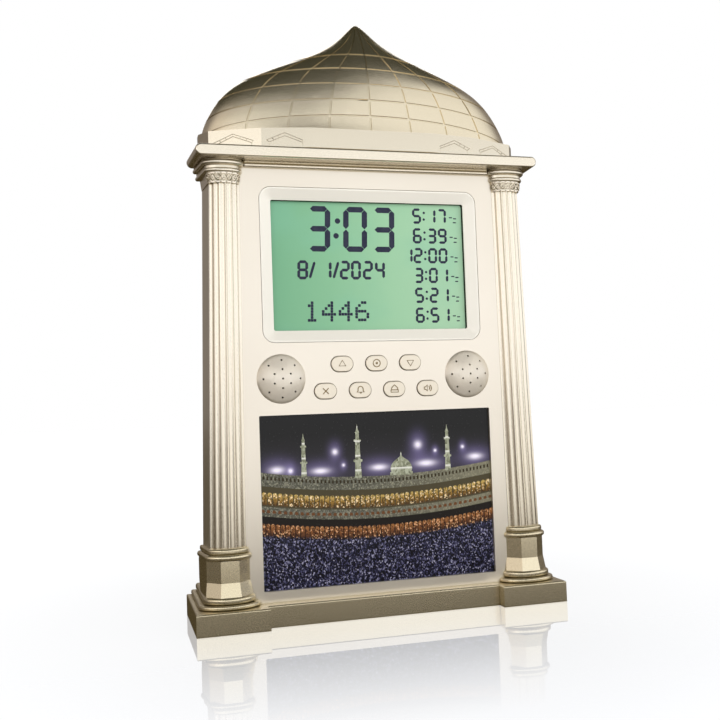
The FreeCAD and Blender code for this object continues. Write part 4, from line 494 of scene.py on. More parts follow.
# %% Arcades
GOLD_LIGHT = ((0.0, (0.13, 0.055, 0.012)), (0.45, (0.36, 0.20, 0.035)), (0.85, (0.66, 0.46, 0.13)),
              (1.0, (0.36, 0.24, 0.06)))
EMBER_LIGHT = ((0.0, (0.035, 0.016, 0.012)), (0.5, (0.24, 0.085, 0.025)), (0.9, (0.42, 0.17, 0.05)),
               (1.0, (0.14, 0.05, 0.02)))
UPPER_ARCADE = {"lights": GOLD_LIGHT, "shade": (0.03, 0.016, 0.006), "lamp": (1.0, 0.80, 0.48),
                "wall": (0.075, 0.062, 0.030), "foot": 63.2, "spring": 6.0, "half": 1.25,
                "pitch": 3.1}
LOWER_ARCADE = {"lights": EMBER_LIGHT, "shade": (0.010, 0.006, 0.008), "lamp": (0.85, 0.48, 0.24),
                "wall": (0.010, 0.007, 0.005), "foot": 45.0, "spring": 6.2, "half": 1.2,
                "pitch": 2.9}
ARCH_HEIGHT = 7.7
SHADED, SHADED_SHARE = (0.25, 0.35), 0.75
LAMPLIT = (0.84, 0.90)


def arcade(tree, x, z, grain, lights, shade, lamp, wall, foot, spring, half, pitch):
    """A wall with a row of lit arches, and lamps and people in them as single cells."""
    lit = colour_ramp(tree, between(tree, z, 0.0, 1.0, foot, foot + ARCH_HEIGHT), lights)
    lit = blended(tree, between(tree, grain, SHADED_SHARE, 0.0, *SHADED), lit, shade)
    lit = blended(tree, between(tree, grain, 0.0, 1.0, *LAMPLIT), lit, lamp)
    return blended(tree, arch_row(tree, x, z, foot, spring, half, pitch), wall, lit)


print("arcade height:", ARCH_HEIGHT, "mm")

# %% [markdown]
# The view is painted from the sky down, each band over the one above it: a gallery with small
# windows, the upper arcade, a frieze with rosettes, the lower arcade and the crowd.  All of
# them bow down towards the middle, as a round court does.

# %% The picture's finish
COURT_BOW = 0.0011
STONE = ((0.0, (0.07, 0.07, 0.050)), (0.6, (0.14, 0.14, 0.11)), (1.0, (0.34, 0.33, 0.24)))
LIT_STONE = (0.33, 0.31, 0.20)
WINDOW, ROSETTE = (0.035, 0.025, 0.010), (0.16, 0.060, 0.022)
WINDOW_ROW, ROSETTE_ROW = (77.6, 1.5, 0.55, 2.3), (58.6, 0.8, 1.0, 3.3)
STONE_CELLS, CROWD_CELLS = (1500.0, 1.3), (1750.0, 1.4)
CROWD = ((0.0, (0.002, 0.002, 0.004)), (0.50, (0.008, 0.008, 0.018)), (0.72, (0.035, 0.035, 0.085)),
         (0.88, (0.13, 0.13, 0.26)), (1.0, (0.46, 0.45, 0.62)))
BAND_TOPS = ((81.3, 81.7), (73.6, 74.0), (62.0, 62.4), (56.3, 56.7), (44.0, 46.0))
PRINT_GLOSS = 0.22


def picture_finish():
    """Printed night view behind a clear glossy sheet."""
    finish, tree, shader = new_finish("night_print")
    x, _, height = axes(tree)
    bow = maths(tree, "MULTIPLY", maths(tree, "MULTIPLY", x, x), COURT_BOW)
    z = maths(tree, "SUBTRACT", height, bow)
    grain = cells(tree, *STONE_CELLS)
    stone = blended(tree, between(tree, x, 0.0, 0.5, -10.0, 65.0), colour_ramp(tree, grain, STONE),
                    LIT_STONE)
    gallery = blended(tree, arch_row(tree, x, z, *WINDOW_ROW), stone, WINDOW)
    upper = arcade(tree, x, z, grain, **UPPER_ARCADE)
    frieze = blended(tree, arch_row(tree, x, z, *ROSETTE_ROW), stone, ROSETTE)
    lower = arcade(tree, x, z, grain, **LOWER_ARCADE)
    crowd = colour_ramp(tree, cells(tree, *CROWD_CELLS), CROWD)
    picture = sky(tree, x, height)
    for band, (full_z, top_z) in zip((gallery, upper, frieze, lower, crowd), BAND_TOPS):
        picture = blended(tree, between(tree, z, 1.0, 0.0, full_z, top_z), picture, band)
    paint(tree, shader, picture, object_noise(tree, 700.0, 2.0), 0.22, 0.30)
    shader.inputs["Specular IOR Level"].default_value = PRINT_GLOSS
    return finish


night_print = picture_finish()
print("picture nodes:", len(night_print.node_tree.nodes))

# %% [markdown]
# ## Dressing the solids
# The record names a finish slot for each solid.  One table turns slots into finishes, so that
# no solid is left in a plain colour.

# %% Dress the solids
FINISHES = {
    "gold_paint": gold_lacquer,
    "button_gold": key_lacquer,
    "rear_plastic": rear_plastic,
    "steel_screw": zinc_steel,
    "nickel_contact": nickel,
    "black_foam": black_foam,
    "contact_rubber": strip_rubber,
    "display_glass": display_green,
    "light_panel": light_guide,
    "circuit_board": board_green,
    "component_black": component_black,
    "flat_cable": cable_film,
    "picture_print": night_print,
    "grey_card": grey_card,
    "speaker_black": speaker_paper,
    "battery_wrap": battery_wrap,
}
SPECIAL_FINISHES = {"dome_shell": dome_lacquer, "lcd_bezel": lit_satin_lacquer,
                    "front_case": face_lacquer, "base_plinth": foot_shade_lacquer,
                    "pedestal_left": foot_shade_lacquer, "pedestal_right": foot_shade_lacquer}


def dress_solids():
    """Gives every solid the finish of its slot, or one of its own."""
    slots = {row["node"]: row["material_slot"] for row in frame["record"]["subparts"]}
    for name, node in frame["nodes"].items():
        node.data.materials.clear()
        node.data.materials.append(SPECIAL_FINISHES.get(name, FINISHES[slots[name]]))
    return len(slots)


print("dressed:", dress_solids())

# %% [markdown]
# ## Helpers for shapes
# The printed and carved pieces are modelled as by hand.  An operator acts on all that is
# selected, so each piece starts with nothing selected.  A piece's place is put into its mesh,
# and its object stays at the origin.

# %% Modes and places


def start_clean():
    """Leaves edit mode and lets go of everything."""
    if bpy.context.object and bpy.context.object.mode != "OBJECT":
        bpy.ops.object.mode_set(mode="OBJECT")
    bpy.ops.object.select_all(action="DESELECT")


def edit_mesh(select="SELECT"):
    """Opens the active object's mesh, with all or nothing selected."""
    bpy.ops.object.mode_set(mode="EDIT")
    bpy.ops.mesh.select_all(action=select)


def leave_mesh():
    """Goes back from the mesh to the object."""
    bpy.ops.object.mode_set(mode="OBJECT")


def keep_place():
    """Puts the selected object's place into its mesh."""
    bpy.ops.object.transform_apply(location=True, rotation=True, scale=True)


print("helpers ready: modes and places")

# %% [markdown]
# A drawn line starts as one corner that is extruded from point to point, as one would by hand.
# Turned into a curve for a moment, it gets its round thickness.

# %% Drawn lines


def drawn_line(points, radius, closed=False):
    """A round line through the points; a closed one joins its ends."""
    start_clean()
    bpy.ops.mesh.primitive_plane_add(size=radius, location=points[0])
    line = bpy.context.object
    keep_place()
    edit_mesh()
    bpy.ops.mesh.merge(type="CENTER")
    for before, after in zip(points, points[1:]):
        step = Vector(after) - Vector(before)
        bpy.ops.mesh.extrude_vertices_move(TRANSFORM_OT_translate={"value": step})
    leave_mesh()
    if closed:
        vertices = line.data.vertices
        vertices[0].select = True
        vertices[len(vertices) - 1].select = True
        bpy.ops.object.mode_set(mode="EDIT")
        bpy.ops.mesh.edge_face_add()
        leave_mesh()
    bpy.ops.object.convert(target="CURVE")
    line = bpy.context.object
    line.data.bevel_depth = radius
    line.data.bevel_resolution = 1
    line.data.use_fill_caps = True
    bpy.ops.object.convert(target="MESH")
    return bpy.context.object


print("helper ready: drawn lines")

# %% [markdown]
# What repeats is modelled once and copied, each copy with a mesh of its own.  Pieces that
# belong together are joined, and the whole is welded, shaded, given its finish and told which
# body it moves with.

# %% Copies and finished pieces
WELD_DISTANCE = 0.000001
SMOOTH_ANGLE = math.radians(40)


def own_copy(piece, move=(0, 0, 0), matrix=None):
    """A copy with a mesh of its own, moved or changed by a matrix."""
    twin = piece.copy()
    twin.data = piece.data.copy()
    bpy.context.collection.objects.link(twin)
    twin.data.transform(matrix or Matrix.Translation(Vector(move)))
    return twin


def joined(pieces, name):
    """One object out of many."""
    start_clean()
    for piece in pieces:
        piece.select_set(True)
    bpy.context.view_layer.objects.active = pieces[0]
    if len(pieces) > 1:
        bpy.ops.object.join()
    whole = bpy.context.object
    whole.name = name
    return whole


def finished(piece, finish, body):
    """Gives a piece its finish, its normals and the body that it moves with."""
    start_clean()
    piece.select_set(True)
    bpy.context.view_layer.objects.active = piece
    edit_mesh()
    bpy.ops.mesh.remove_doubles(threshold=WELD_DISTANCE)
    bpy.ops.mesh.normals_make_consistent(inside=False)
    leave_mesh()
    bpy.ops.object.shade_smooth_by_angle(angle=SMOOTH_ANGLE)
    piece.data.materials.clear()
    piece.data.materials.append(finish)
    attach(piece, body)
    return piece


def thrown_away(pieces):
    """Removes pieces that were only models for copies."""
    for piece in pieces:
        bpy.data.objects.remove(piece)


print("helpers ready: copies and finished pieces")

# %% [markdown]
# ## Digits of the display
# A lit digit is made of bars with pointed ends.  A bar starts as a plane whose corners are
# bevelled until the short sides become points, and is then given a hair of thickness.  A
# square dot is made the same way, with its corners cut only a little.

# %% Plates, bars and dots
INK_GAP = 0.00003
INK_Y = GLASS_FRONT_Y - INK_GAP
INK_THICKNESS = 0.00005
POINT_CUT = 0.49
bar_models = {}


def thicken():
    """Draws the selected faces out by a hair, towards the front, and leaves the mesh."""
    bpy.ops.mesh.extrude_region_move(TRANSFORM_OT_translate={"value": (0, -INK_THICKNESS, 0)})
    leave_mesh()


def plate_model(width, height, cut):
    """An upright plate with cut corners at the origin; sizes are in millimetres."""
    start_clean()
    bpy.ops.mesh.primitive_plane_add(size=1.0, rotation=(math.pi / 2, 0, 0))
    plate = bpy.context.object
    plate.scale = (width * MM, height * MM, 1)
    keep_place()
    edit_mesh()
    bpy.ops.mesh.bevel(affect="VERTICES", offset=cut * MM, segments=1)
    thicken()
    return plate


def bar_model(length, stroke):
    """A pointed bar along X; one model serves all bars of its size."""
    key = (round(length, 3), stroke)
    if key not in bar_models:
        bar_models[key] = plate_model(length, stroke, stroke * POINT_CUT)
    return bar_models[key]


def dot_model(size, corners=0.3):
    """A square dot; its corners are cut by a share of its size."""
    return plate_model(size, size, size * corners)


def at_ink(model, x, z):
    """A copy of a model at a place of the display, in millimetres."""
    return own_copy(model, (x * MM, INK_Y, z * MM))


print("ink front at y =", round(INK_Y / MM, 2), "mm")

# %% [markdown]
# Seven bars, lettered a to g, make up every digit.  Each length of bar is modelled once, and
# each lit bar is a copy, turned and put in its place.  The digits lean a little, as display
# digits do.

# %% Digits
DIGIT_LEAN = 0.033
LEAN = Matrix(((1, 0, DIGIT_LEAN, 0), (0, 1, 0, 0), (0, 0, 1, 0), (0, 0, 0, 1)))
LIT = {"0": "abcdef", "1": "bc", "2": "abged", "3": "abgcd", "4": "fgbc", "5": "afgcd",
       "6": "afgedc", "7": "abc", "8": "abcdefg", "9": "abcdfg"}


def digit_bars(digit, left, right, low, high, stroke, gap):
    """Copies of the bars that a digit lights up; sizes are in millimetres."""
    half = stroke / 2
    middle = (low + high) / 2
    across = right - left - stroke - gap
    up = (high - low - stroke) / 2 - gap
    centre = (left + right) / 2
    places = {"a": (centre, high - half, 0), "g": (centre, middle, 0), "d": (centre, low + half, 0),
              "b": (right - half, (middle + high - half) / 2, 1),
              "c": (right - half, (middle + low + half) / 2, 1),
              "f": (left + half, (middle + high - half) / 2, 1),
              "e": (left + half, (middle + low + half) / 2, 1)}
    bars = []
    for name in LIT[digit]:
        x, z, upright = places[name]
        model = bar_model(up if upright else across, stroke)
        turn = Matrix.Rotation(math.pi / 2 * upright, 4, "Y")
        leant_x = x + DIGIT_LEAN * (z - middle)
        spot = Matrix.Translation((leant_x * MM, INK_Y, z * MM))
        bars.append(own_copy(model, matrix=spot @ LEAN @ turn))
    return bars


print("digits ready:", len(LIT))

# %% [markdown]
# ## Ink of the display
# Lit figures of a liquid crystal look like dark blue grey ink, never quite black.  All figures
# share this one finish, with slow noise for the unevenness of a real display.

# %% Ink of the display
INK_DARK, INK_LIGHT = (0.026, 0.030, 0.060), (0.040, 0.044, 0.078)


def ink_finish():
    """Dark blue grey liquid crystal, a little uneven."""
    finish, tree, shader = new_finish("display_ink")
    noise = object_noise(tree, 300.0, 2.0)
    paint(tree, shader, two_tone(tree, noise, INK_DARK, INK_LIGHT), noise, 0.44, 0.52)
    shader.inputs["Specular IOR Level"].default_value = 0.12
    return finish


display_ink = ink_finish()
print("made:", display_ink.name)

# %% [markdown]
# ## Time and date
# The large figures show the time of day, and the smaller ones below them the date.  Each row
# says which digit stands between which left and right edge, in millimetres.

# %% Time and date
CASE = "case"
TIME_DIGITS = (("3", -38.5, -24.1), ("0", -16.0, -0.9), ("3", 2.1, 16.6))
TIME_LOW, TIME_HIGH = 217.4, 245.1
TIME_STROKE = 3.4
TIME_GAP, FINE_GAP = 0.35, 0.1
COLON_SIZE = 3.3
COLON_PLACES = ((-19.4, 236.2), (-20.6, 227.1))
DATE_DIGITS = (("8", -45.2, -38.6), ("1", -28.5, -24.1), ("2", -19.0, -12.7),
               ("0", -12.0, -5.7), ("2", -4.5, 1.9), ("4", 3.2, 9.6))
DATE_LOW, DATE_HIGH = 200.5, 212.0
DATE_STROKE = 1.75
SLASH_LENGTH, SLASH_STROKE = 10.6, 1.6
SLASH_PLACES = ((-36.1, 206.2), (-21.4, 206.2))
SLASH_TURN = math.radians(-72)

big_bars = []
for digit, left, right in TIME_DIGITS:
    big_bars += digit_bars(digit, left, right, TIME_LOW, TIME_HIGH, TIME_STROKE, TIME_GAP)
colon_dot = dot_model(COLON_SIZE)
big_bars += [at_ink(colon_dot, x, z) for x, z in COLON_PLACES]
time_figures = finished(joined(big_bars, "time_figures"), display_ink, CASE)

date_bars = []
for digit, left, right in DATE_DIGITS:
    date_bars += digit_bars(digit, left, right, DATE_LOW, DATE_HIGH, DATE_STROKE, FINE_GAP)
slash = bar_model(SLASH_LENGTH, SLASH_STROKE)
for x, z in SLASH_PLACES:
    spot = Matrix.Translation((x * MM, INK_Y, z * MM))
    date_bars.append(own_copy(slash, matrix=spot @ Matrix.Rotation(SLASH_TURN, 4, "Y")))
date_figures = finished(joined(date_bars, "date_figures"), display_ink, CASE)
print("time and date polygons:", len(time_figures.data.polygons), len(date_figures.data.polygons))

# %% [markdown]
# ## Six prayer times
# The six times stand in a column at the right.  The short dashes beside each are alarm marks.

# %% Prayer times
TIMES = ("0517", "0639", "1200", "0301", "0521", "0651")
ROW_TOP = 240.3
ROW_PITCH = 12.38
ROW_HEIGHT = 9.6
ROW_STROKE = 1.55
TEN_EDGES = (22.4, 27.9)
DIGIT_LEFTS = (28.5, 38.1, 45.0)
DIGIT_WIDTH = 5.9
ROW_COLON_SIZE = 1.5
ROW_COLON = ((36.3, 2.1), (36.1, -2.1))
MARK_LENGTH, MARK_STROKE = 2.3, 0.7
MARKS = ((53.9, -0.6), (56.7, -1.2), (56.4, -3.7))


def time_row(text, middle):
    """Bars of one small time, without its leading nought."""
    low, high = middle - ROW_HEIGHT / 2, middle + ROW_HEIGHT / 2
    bars = []
    if text[0] == "1":
        bars += digit_bars("1", *TEN_EDGES, low, high, ROW_STROKE, FINE_GAP)
    for digit, left in zip(text[1:], DIGIT_LEFTS):
        bars += digit_bars(digit, left, left + DIGIT_WIDTH, low, high, ROW_STROKE, FINE_GAP)
    return bars


small_dot = dot_model(ROW_COLON_SIZE)
mark = bar_model(MARK_LENGTH, MARK_STROKE)
row_bars = []
for row, text in enumerate(TIMES):
    middle = ROW_TOP - ROW_PITCH * row
    row_bars += time_row(text, middle)
    row_bars += [at_ink(small_dot, x, middle + z) for x, z in ROW_COLON]
    row_bars += [at_ink(mark, x, middle + z) for x, z in MARKS]
prayer_times = finished(joined(row_bars, "prayer_times"), display_ink, CASE)
print("prayer times polygons:", len(prayer_times.data.polygons))

# %% [markdown]
# ## Dot figures
# The lower line is drawn with square dots, five across and seven high.  It shows plain
# numbers.  Each row of a figure is written as a string, so that the figure can be seen in it.

# %% Dot figures
DOT_FIGURES = {
    "1": ("00100", "01100", "00100", "00100", "00100", "00100", "01110"),
    "4": ("00010", "00110", "01010", "10010", "11111", "00010", "00010"),
    "6": ("00110", "01000", "10000", "11110", "10001", "10001", "01110"),
}
DOT_LINE = "1446"
DOT_LEFTS = (-40.4, -30.0, -19.6, -9.2)
DOT_TOP = 186.4
DOT_PITCH_X, DOT_PITCH_Z = 1.78, 1.76
DOT_SIZE, DOT_CORNERS = 1.68, 0.12
square_dot = dot_model(DOT_SIZE, DOT_CORNERS)
dots = []
for digit, left in zip(DOT_LINE, DOT_LEFTS):
    for row, line in enumerate(DOT_FIGURES[digit]):
        for column, lit in enumerate(line):
            if lit == "1":
                drop = row * DOT_PITCH_Z
                x = left + column * DOT_PITCH_X - drop * DIGIT_LEAN
                dots.append(at_ink(square_dot, x, DOT_TOP - drop))
finished(joined(dots, "dot_figures"), display_ink, CASE)
thrown_away([colon_dot, small_dot, square_dot] + list(bar_models.values()))
print("dots:", len(dots))

# %% [markdown]
# ## Signs on the keys
# Each key carries a small printed sign in place of a word: arrows, a ring, a cross, a bell, a
# dome and sound waves.  They are thin drawn lines, half sunk in the key's face, and each rides
# on its key, so that it moves when the key is pressed.

# %% Places on a key
KEY_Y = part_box("set_button")[0].y
SIGN_RADIUS = 0.30
SIGN_PROUD = 0.00002


def on_key(key, points):
    """Points given in millimetres around the middle of a key."""
    low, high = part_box(key)
    x, z = (low.x + high.x) / 2, (low.z + high.z) / 2
    return [(x + u * MM, KEY_Y - SIGN_PROUD, z + v * MM) for u, v in points]


def ring_points(radius, count, start=0.0, sweep=360.0, middle=(0.0, 0.0)):
    """Points on an arc in millimetres; a full ring leaves out the doubled last one."""
    steps = count if sweep >= 360 else count - 1
    turns = [math.radians(start + sweep * i / steps) for i in range(count)]
    return [(middle[0] + radius * math.cos(t), middle[1] + radius * math.sin(t)) for t in turns]


print("key faces at y =", round(KEY_Y / MM, 2), "mm")

# %% [markdown]
# A sign is one or more lines around the middle of its key.  Each line is marked as closed or
# open, and rounded parts are arcs.

# %% Outlines of the signs
BELL = [(-2.3, -1.2), (-1.6, -0.4), *ring_points(1.6, 7, 180, -180, (0, 0.6)), (1.6, -0.4),
        (2.3, -1.2)]
CLAPPER = ring_points(0.4, 5, 180, 180, (0, -1.5))
SMALL_DOME = [(-2.3, -1.9), (2.3, -1.9), (2.3, -0.6), (1.9, -0.3), (2.0, 0.6), (1.1, 1.5), (0, 2.5),
              (-1.1, 1.5), (-2.0, 0.6), (-1.9, -0.3), (-2.3, -0.6)]
HORN = [(-2.4, -0.7), (-1.5, -0.7), (-0.4, -1.9), (-0.4, 1.9), (-1.5, 0.7), (-2.4, 0.7)]
SIGNS = {
    "up_button": [([(-2.1, -1.2), (2.1, -1.2), (0, 2.2)], True)],
    "down_button": [([(-2.1, 1.2), (2.1, 1.2), (0, -2.2)], True)],
    "set_button": [(ring_points(2.2, 16), True), (ring_points(0.5, 6), True)],
    "exit_button": [([(-1.7, -1.7), (1.7, 1.7)], False), ([(-1.7, 1.7), (1.7, -1.7)], False)],
    "alarm_button": [(BELL, True), (CLAPPER, False)],
    "prayer_button": [(SMALL_DOME, True), ([(-1.9, -0.5), (1.9, -0.5)], False)],
    "sound_button": [(HORN, True), (ring_points(1.3, 6, -50, 100, (-0.2, 0)), False),
                     (ring_points(2.4, 7, -50, 100, (-0.2, 0)), False)],
}
print("outlines:", sum(len(strokes) for strokes in SIGNS.values()))

# %% [markdown]
# The signs are printed in a thick brown ink that dries with an uneven gloss.

# %% Signs on the keys
SIGN_DARK, SIGN_LIGHT = (0.26, 0.19, 0.09), (0.36, 0.27, 0.14)


def sign_finish():
    """Brown printing ink of an uneven gloss."""
    finish, tree, shader = new_finish("sign_ink")
    noise = object_noise(tree, 1800.0, 3.0)
    tone = two_tone(tree, noise, SIGN_DARK, SIGN_LIGHT, 0.35)
    paint(tree, shader, tone, noise, 0.45, 0.6)
    return finish


sign_ink = sign_finish()
for key, strokes in SIGNS.items():
    lines = [drawn_line(on_key(key, points), SIGN_RADIUS * MM, closed)
             for points, closed in strokes]
    finished(joined(lines, key.replace("button", "sign")), sign_ink, key)
print("signs:", len(SIGNS))

# %% [markdown]
# ## Gables on the drum
# Each slanting facet of the drum has a small gable drawn on it in raised lines: an outer and
# an inner roof line, posts below its ends and ticks between the lines.  It is laid out along
# the facet, from its outer corner, and mirrored for the other side.

# %% Gables
GABLE_RADIUS = 0.17
POST_FEET = (1.2, 1.6)
TICKS = (0.3, 0.62)
DRUM_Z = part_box("cornice")[1].z / MM
FACET_CORNERS = (((-96.0, -11.4), (-66.5, -22.9)), ((-66.5, -22.9), (-37.9, -27.9)))
ROOFS = (((3.0, 4.9), (14.7, 9.6), (26.8, 5.1), (4.6, 3.7), (14.7, 8.2), (25.8, 3.9)),
         ((2.9, 5.1), (13.7, 9.3), (24.3, 4.7), (4.6, 3.9), (13.7, 7.5), (24.0, 3.5)))


def on_facet(corners, point):
    """A point of a facet: millimetres along it and above the cornice."""
    (x0, y0), (x1, y1) = corners
    length = math.hypot(x1 - x0, y1 - y0)
    along = Vector((x1 - x0, y1 - y0)) / length
    u, v = point
    return ((x0 + along.x * u) * MM, (y0 + along.y * u) * MM, (DRUM_Z + v) * MM)


def gable(corners, roof):
    """Raised lines of one gable."""
    outer, inner = roof[:3], roof[3:]
    paths = [outer, inner, (outer[0], inner[0]), (outer[2], inner[2])]
    paths += [(inner[0], (inner[0][0], POST_FEET[0])), (inner[2], (inner[2][0], POST_FEET[1]))]
    for side in (0, 2):
        for share in TICKS:
            paths.append([[a + (b - a) * share for a, b in zip(roof_line[side], roof_line[1])]
                          for roof_line in (outer, inner)])
    return [drawn_line([on_facet(corners, p) for p in path], GABLE_RADIUS * MM) for path in paths]


gables = [line for corners, roof in zip(FACET_CORNERS, ROOFS) for line in gable(corners, roof)]
left_gables = joined(gables, "drum_gables_left")
mirror = Matrix.Scale(-1, 4, (1, 0, 0))
right_gables = own_copy(left_gables, matrix=mirror)
right_gables.name = "drum_gables_right"
for piece in (left_gables, right_gables):
    finished(piece, gold_lacquer, CASE)
print("gable polygons:", len(left_gables.data.polygons), "each side")

# %% [markdown]
# ## Scrolls round the capitals
# The bell of each capital carries a band of carved scrollwork.  Two waves run round it against
# each other like a plait, with a bead in each eye and a small leaf above and below.  The
# points follow the bell's half ellipse, which widens upwards.

# %% Places round the bell
FACE_Y = -17.4
BELL_CENTRE = 88.9
BELL_LOW, BELL_HIGH = 255.2, 261.2
BELL_HALF = (9.1, 9.8)
BELL_PROUD = (4.7, 5.5)
BELL_TURN = 88
FINE_STEPS = 200
ROUNDING = 1e-9


def on_bell(turn, rise, proud=0.0):
    """A point of the right bell: an angle round it and a share of its height."""
    half = BELL_HALF[0] + (BELL_HALF[1] - BELL_HALF[0]) * rise + proud
    depth = BELL_PROUD[0] + (BELL_PROUD[1] - BELL_PROUD[0]) * rise + proud
    return ((BELL_CENTRE + half * math.sin(turn)) * MM, (FACE_Y - depth * math.cos(turn)) * MM,
            (BELL_LOW + (BELL_HIGH - BELL_LOW) * rise) * MM)


def even_turns(count):
    """Angles that divide the half ellipse into steps of about equal length."""
    fine = [math.radians(BELL_TURN * i / FINE_STEPS) for i in range(-FINE_STEPS, FINE_STEPS + 1)]
    marks = [Vector(on_bell(t, 0.5)) for t in fine]
    lengths = [0.0]
    for before, after in zip(marks, marks[1:]):
        lengths.append(lengths[-1] + (after - before).length)
    turns = []
    for step in range(count + 1):
        wanted = lengths[-1] * step / count
        turns.append(next(t for t, far in zip(fine, lengths) if far >= wanted - ROUNDING))
    return turns


print("bell from", BELL_LOW, "to", BELL_HIGH, "mm")

# %% [markdown]
# Every second eye of the plait stands a little proud of its neighbours.  The beads and the
# leaves are copies of one small ball, made a little flatter and higher.

# %% Scrolls
EYES = 7
EYE_STEPS = 6
WAVE_HEIGHT, WAVE_RADIUS = 0.31, 0.42
EYE_PROUD, EYE_SUNK = 0.12, -0.05
BEAD_RADIUS = 0.62
BEAD_SHAPE = (1.0, 0.7, 1.15)
BEAD_PROUD = 0.15
LEAF_RISES = (0.14, 0.86)


def plait(phase):
    """One wave round the bell."""
    points = []
    for step, turn in enumerate(even_turns(EYES * EYE_STEPS)):
        wave = math.sin(math.pi * step / EYE_STEPS + phase)
        proud = EYE_PROUD if step % (2 * EYE_STEPS) < EYE_STEPS else EYE_SUNK
        points.append(on_bell(turn, 0.5 + WAVE_HEIGHT * wave, proud))
    return drawn_line(points, WAVE_RADIUS * MM)


def bead_model():
    """A small bead, a little flat and a little high, at the origin."""
    start_clean()
    bpy.ops.mesh.primitive_uv_sphere_add(segments=10, ring_count=6, radius=BEAD_RADIUS * MM)
    bead = bpy.context.object
    edit_mesh()
    bpy.ops.transform.resize(value=BEAD_SHAPE, center_override=(0, 0, 0))
    leave_mesh()
    return bead


bead = bead_model()
scrolls = [plait(0.0), plait(math.pi)]
eye_turns = even_turns(EYES * 2)
for index in range(EYES):
    scrolls.append(own_copy(bead, on_bell(eye_turns[index * 2 + 1], 0.5, BEAD_PROUD)))
for index in range(1, EYES):
    for rise in LEAF_RISES:
        scrolls.append(own_copy(bead, on_bell(eye_turns[index * 2], rise)))
thrown_away([bead])
right_scrolls = joined(scrolls, "capital_scrolls_right")
left_scrolls = own_copy(right_scrolls, matrix=mirror)
left_scrolls.name = "capital_scrolls_left"
for piece in (right_scrolls, left_scrolls):
    finished(piece, gold_lacquer, CASE)
print("scroll polygons:", len(right_scrolls.data.polygons), "each")

# %% [markdown]
# ## Skyline of the picture
# Three slim towers and a low dome stand on the picture's horizon.  Each is a flat figure: a
# strip whose top edge is extruded up and scaled, step by step, like an outline that is turned
# on a lathe.  They lie a hair in front of the print.

# %% Flat figures
PRINT_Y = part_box("picture_panel")[0].y - 0.00004
TOWER_STEPS = ((0.0, 3.9), (8.5, 3.1), (0.4, 5.0), (1.1, 5.0), (0.2, 3.0), (9.5, 2.5), (0.4, 4.0),
               (1.0, 4.0), (0.2, 2.1), (3.4, 1.9), (0.2, 2.6), (0.9, 1.6), (1.2, 0.7), (2.4, 0.15))
DOME_STEPS = ((0.0, 12.5), (1.6, 12.5), (0.2, 11.0), (1.4, 11.9), (1.6, 11.4), (1.6, 9.6),
              (1.4, 6.6), (1.1, 3.2), (0.9, 0.9), (2.2, 0.25))
FIGURES = ((-46, 83.5, TOWER_STEPS, 0.85), (-13, 81.0, TOWER_STEPS, 1.08),
           (44, 82.5, TOWER_STEPS, 0.95), (14, 81.3, DOME_STEPS, 1.15))
START_HEIGHT = 0.05
TOP_SLACK = 1e-7


def flat_figure(x, foot, steps, scale):
    """A symmetrical flat figure from (rise, width) steps in millimetres."""
    start_clean()
    bpy.ops.mesh.primitive_plane_add(size=1 * MM, location=(x * MM, PRINT_Y, foot * MM),
                                     rotation=(math.pi / 2, 0, 0))
    figure = bpy.context.object
    figure.scale = (steps[0][1] * scale, START_HEIGHT, 1)
    keep_place()
    top = max(v.co.z for v in figure.data.vertices)
    edit_mesh("DESELECT")
    bpy.ops.mesh.select_mode(type="EDGE")
    leave_mesh()
    for edge in figure.data.edges:
        edge.select = all(figure.data.vertices[i].co.z > top - TOP_SLACK for i in edge.vertices)
    bpy.ops.object.mode_set(mode="EDIT")
    height, width = foot, steps[0][1]
    for rise, new_width in steps[1:]:
        height += rise * scale
        bpy.ops.mesh.extrude_edges_move(TRANSFORM_OT_translate={"value": (0, 0, rise * scale * MM)})
        bpy.ops.transform.resize(value=(new_width / width, 1, 1),
                                 center_override=(x * MM, PRINT_Y, height * MM))
        width = new_width
    bpy.ops.mesh.select_mode(type="VERT")
    bpy.ops.mesh.select_all(action="SELECT")
    thicken()
    return figure


print("figures on the horizon:", len(FIGURES))

# %% [markdown]
# The towers and the dome are floodlit, so their stone is pale, with small darker cells for the
# openings and bright rings at even heights.

# %% Skyline
FLOODLIT_STONE = ((0.0, (0.16, 0.17, 0.11)), (0.35, (0.31, 0.33, 0.23)), (1.0, (0.52, 0.55, 0.42)))
OPENINGS = (950.0, 1.6)
RING_PITCH = 8.6
RING_BAND, RING_SHARE = (0.80, 0.96), 0.85
RING_LIGHT = (0.95, 0.96, 0.90)


def lit_stone_finish():
    """Pale floodlit stone in print, with small dark openings and bright rings."""
    finish, tree, shader = new_finish("lit_stone_print")
    x, _, z = axes(tree)
    stone = colour_ramp(tree, cells(tree, *OPENINGS), FLOODLIT_STONE)
    rings = maths(tree, "FRACT", maths(tree, "DIVIDE", z, RING_PITCH))
    bright = between(tree, rings, 0.0, RING_SHARE, *RING_BAND, smooth=True)
    across = between(tree, x, 0.0, 1.0, -70.0, 70.0)
    paint(tree, shader, blended(tree, bright, stone, RING_LIGHT), across, 0.26, 0.28)
    shader.inputs["Specular IOR Level"].default_value = PRINT_GLOSS
    return finish


lit_stone = lit_stone_finish()
figures = [flat_figure(*figure) for figure in FIGURES]
skyline = finished(joined(figures, "picture_skyline"), lit_stone, CASE)
print("skyline polygons:", len(skyline.data.polygons))

# %% [markdown]
# ## The floor
# The clock stands on a white sweep.  The eye sees plain white there, with the clock's shadow
# and a mirror image in the floor's polish.  The lacquer sees the floor too: dim close to the
# clock, where the clock itself keeps the light away, and bright further out.

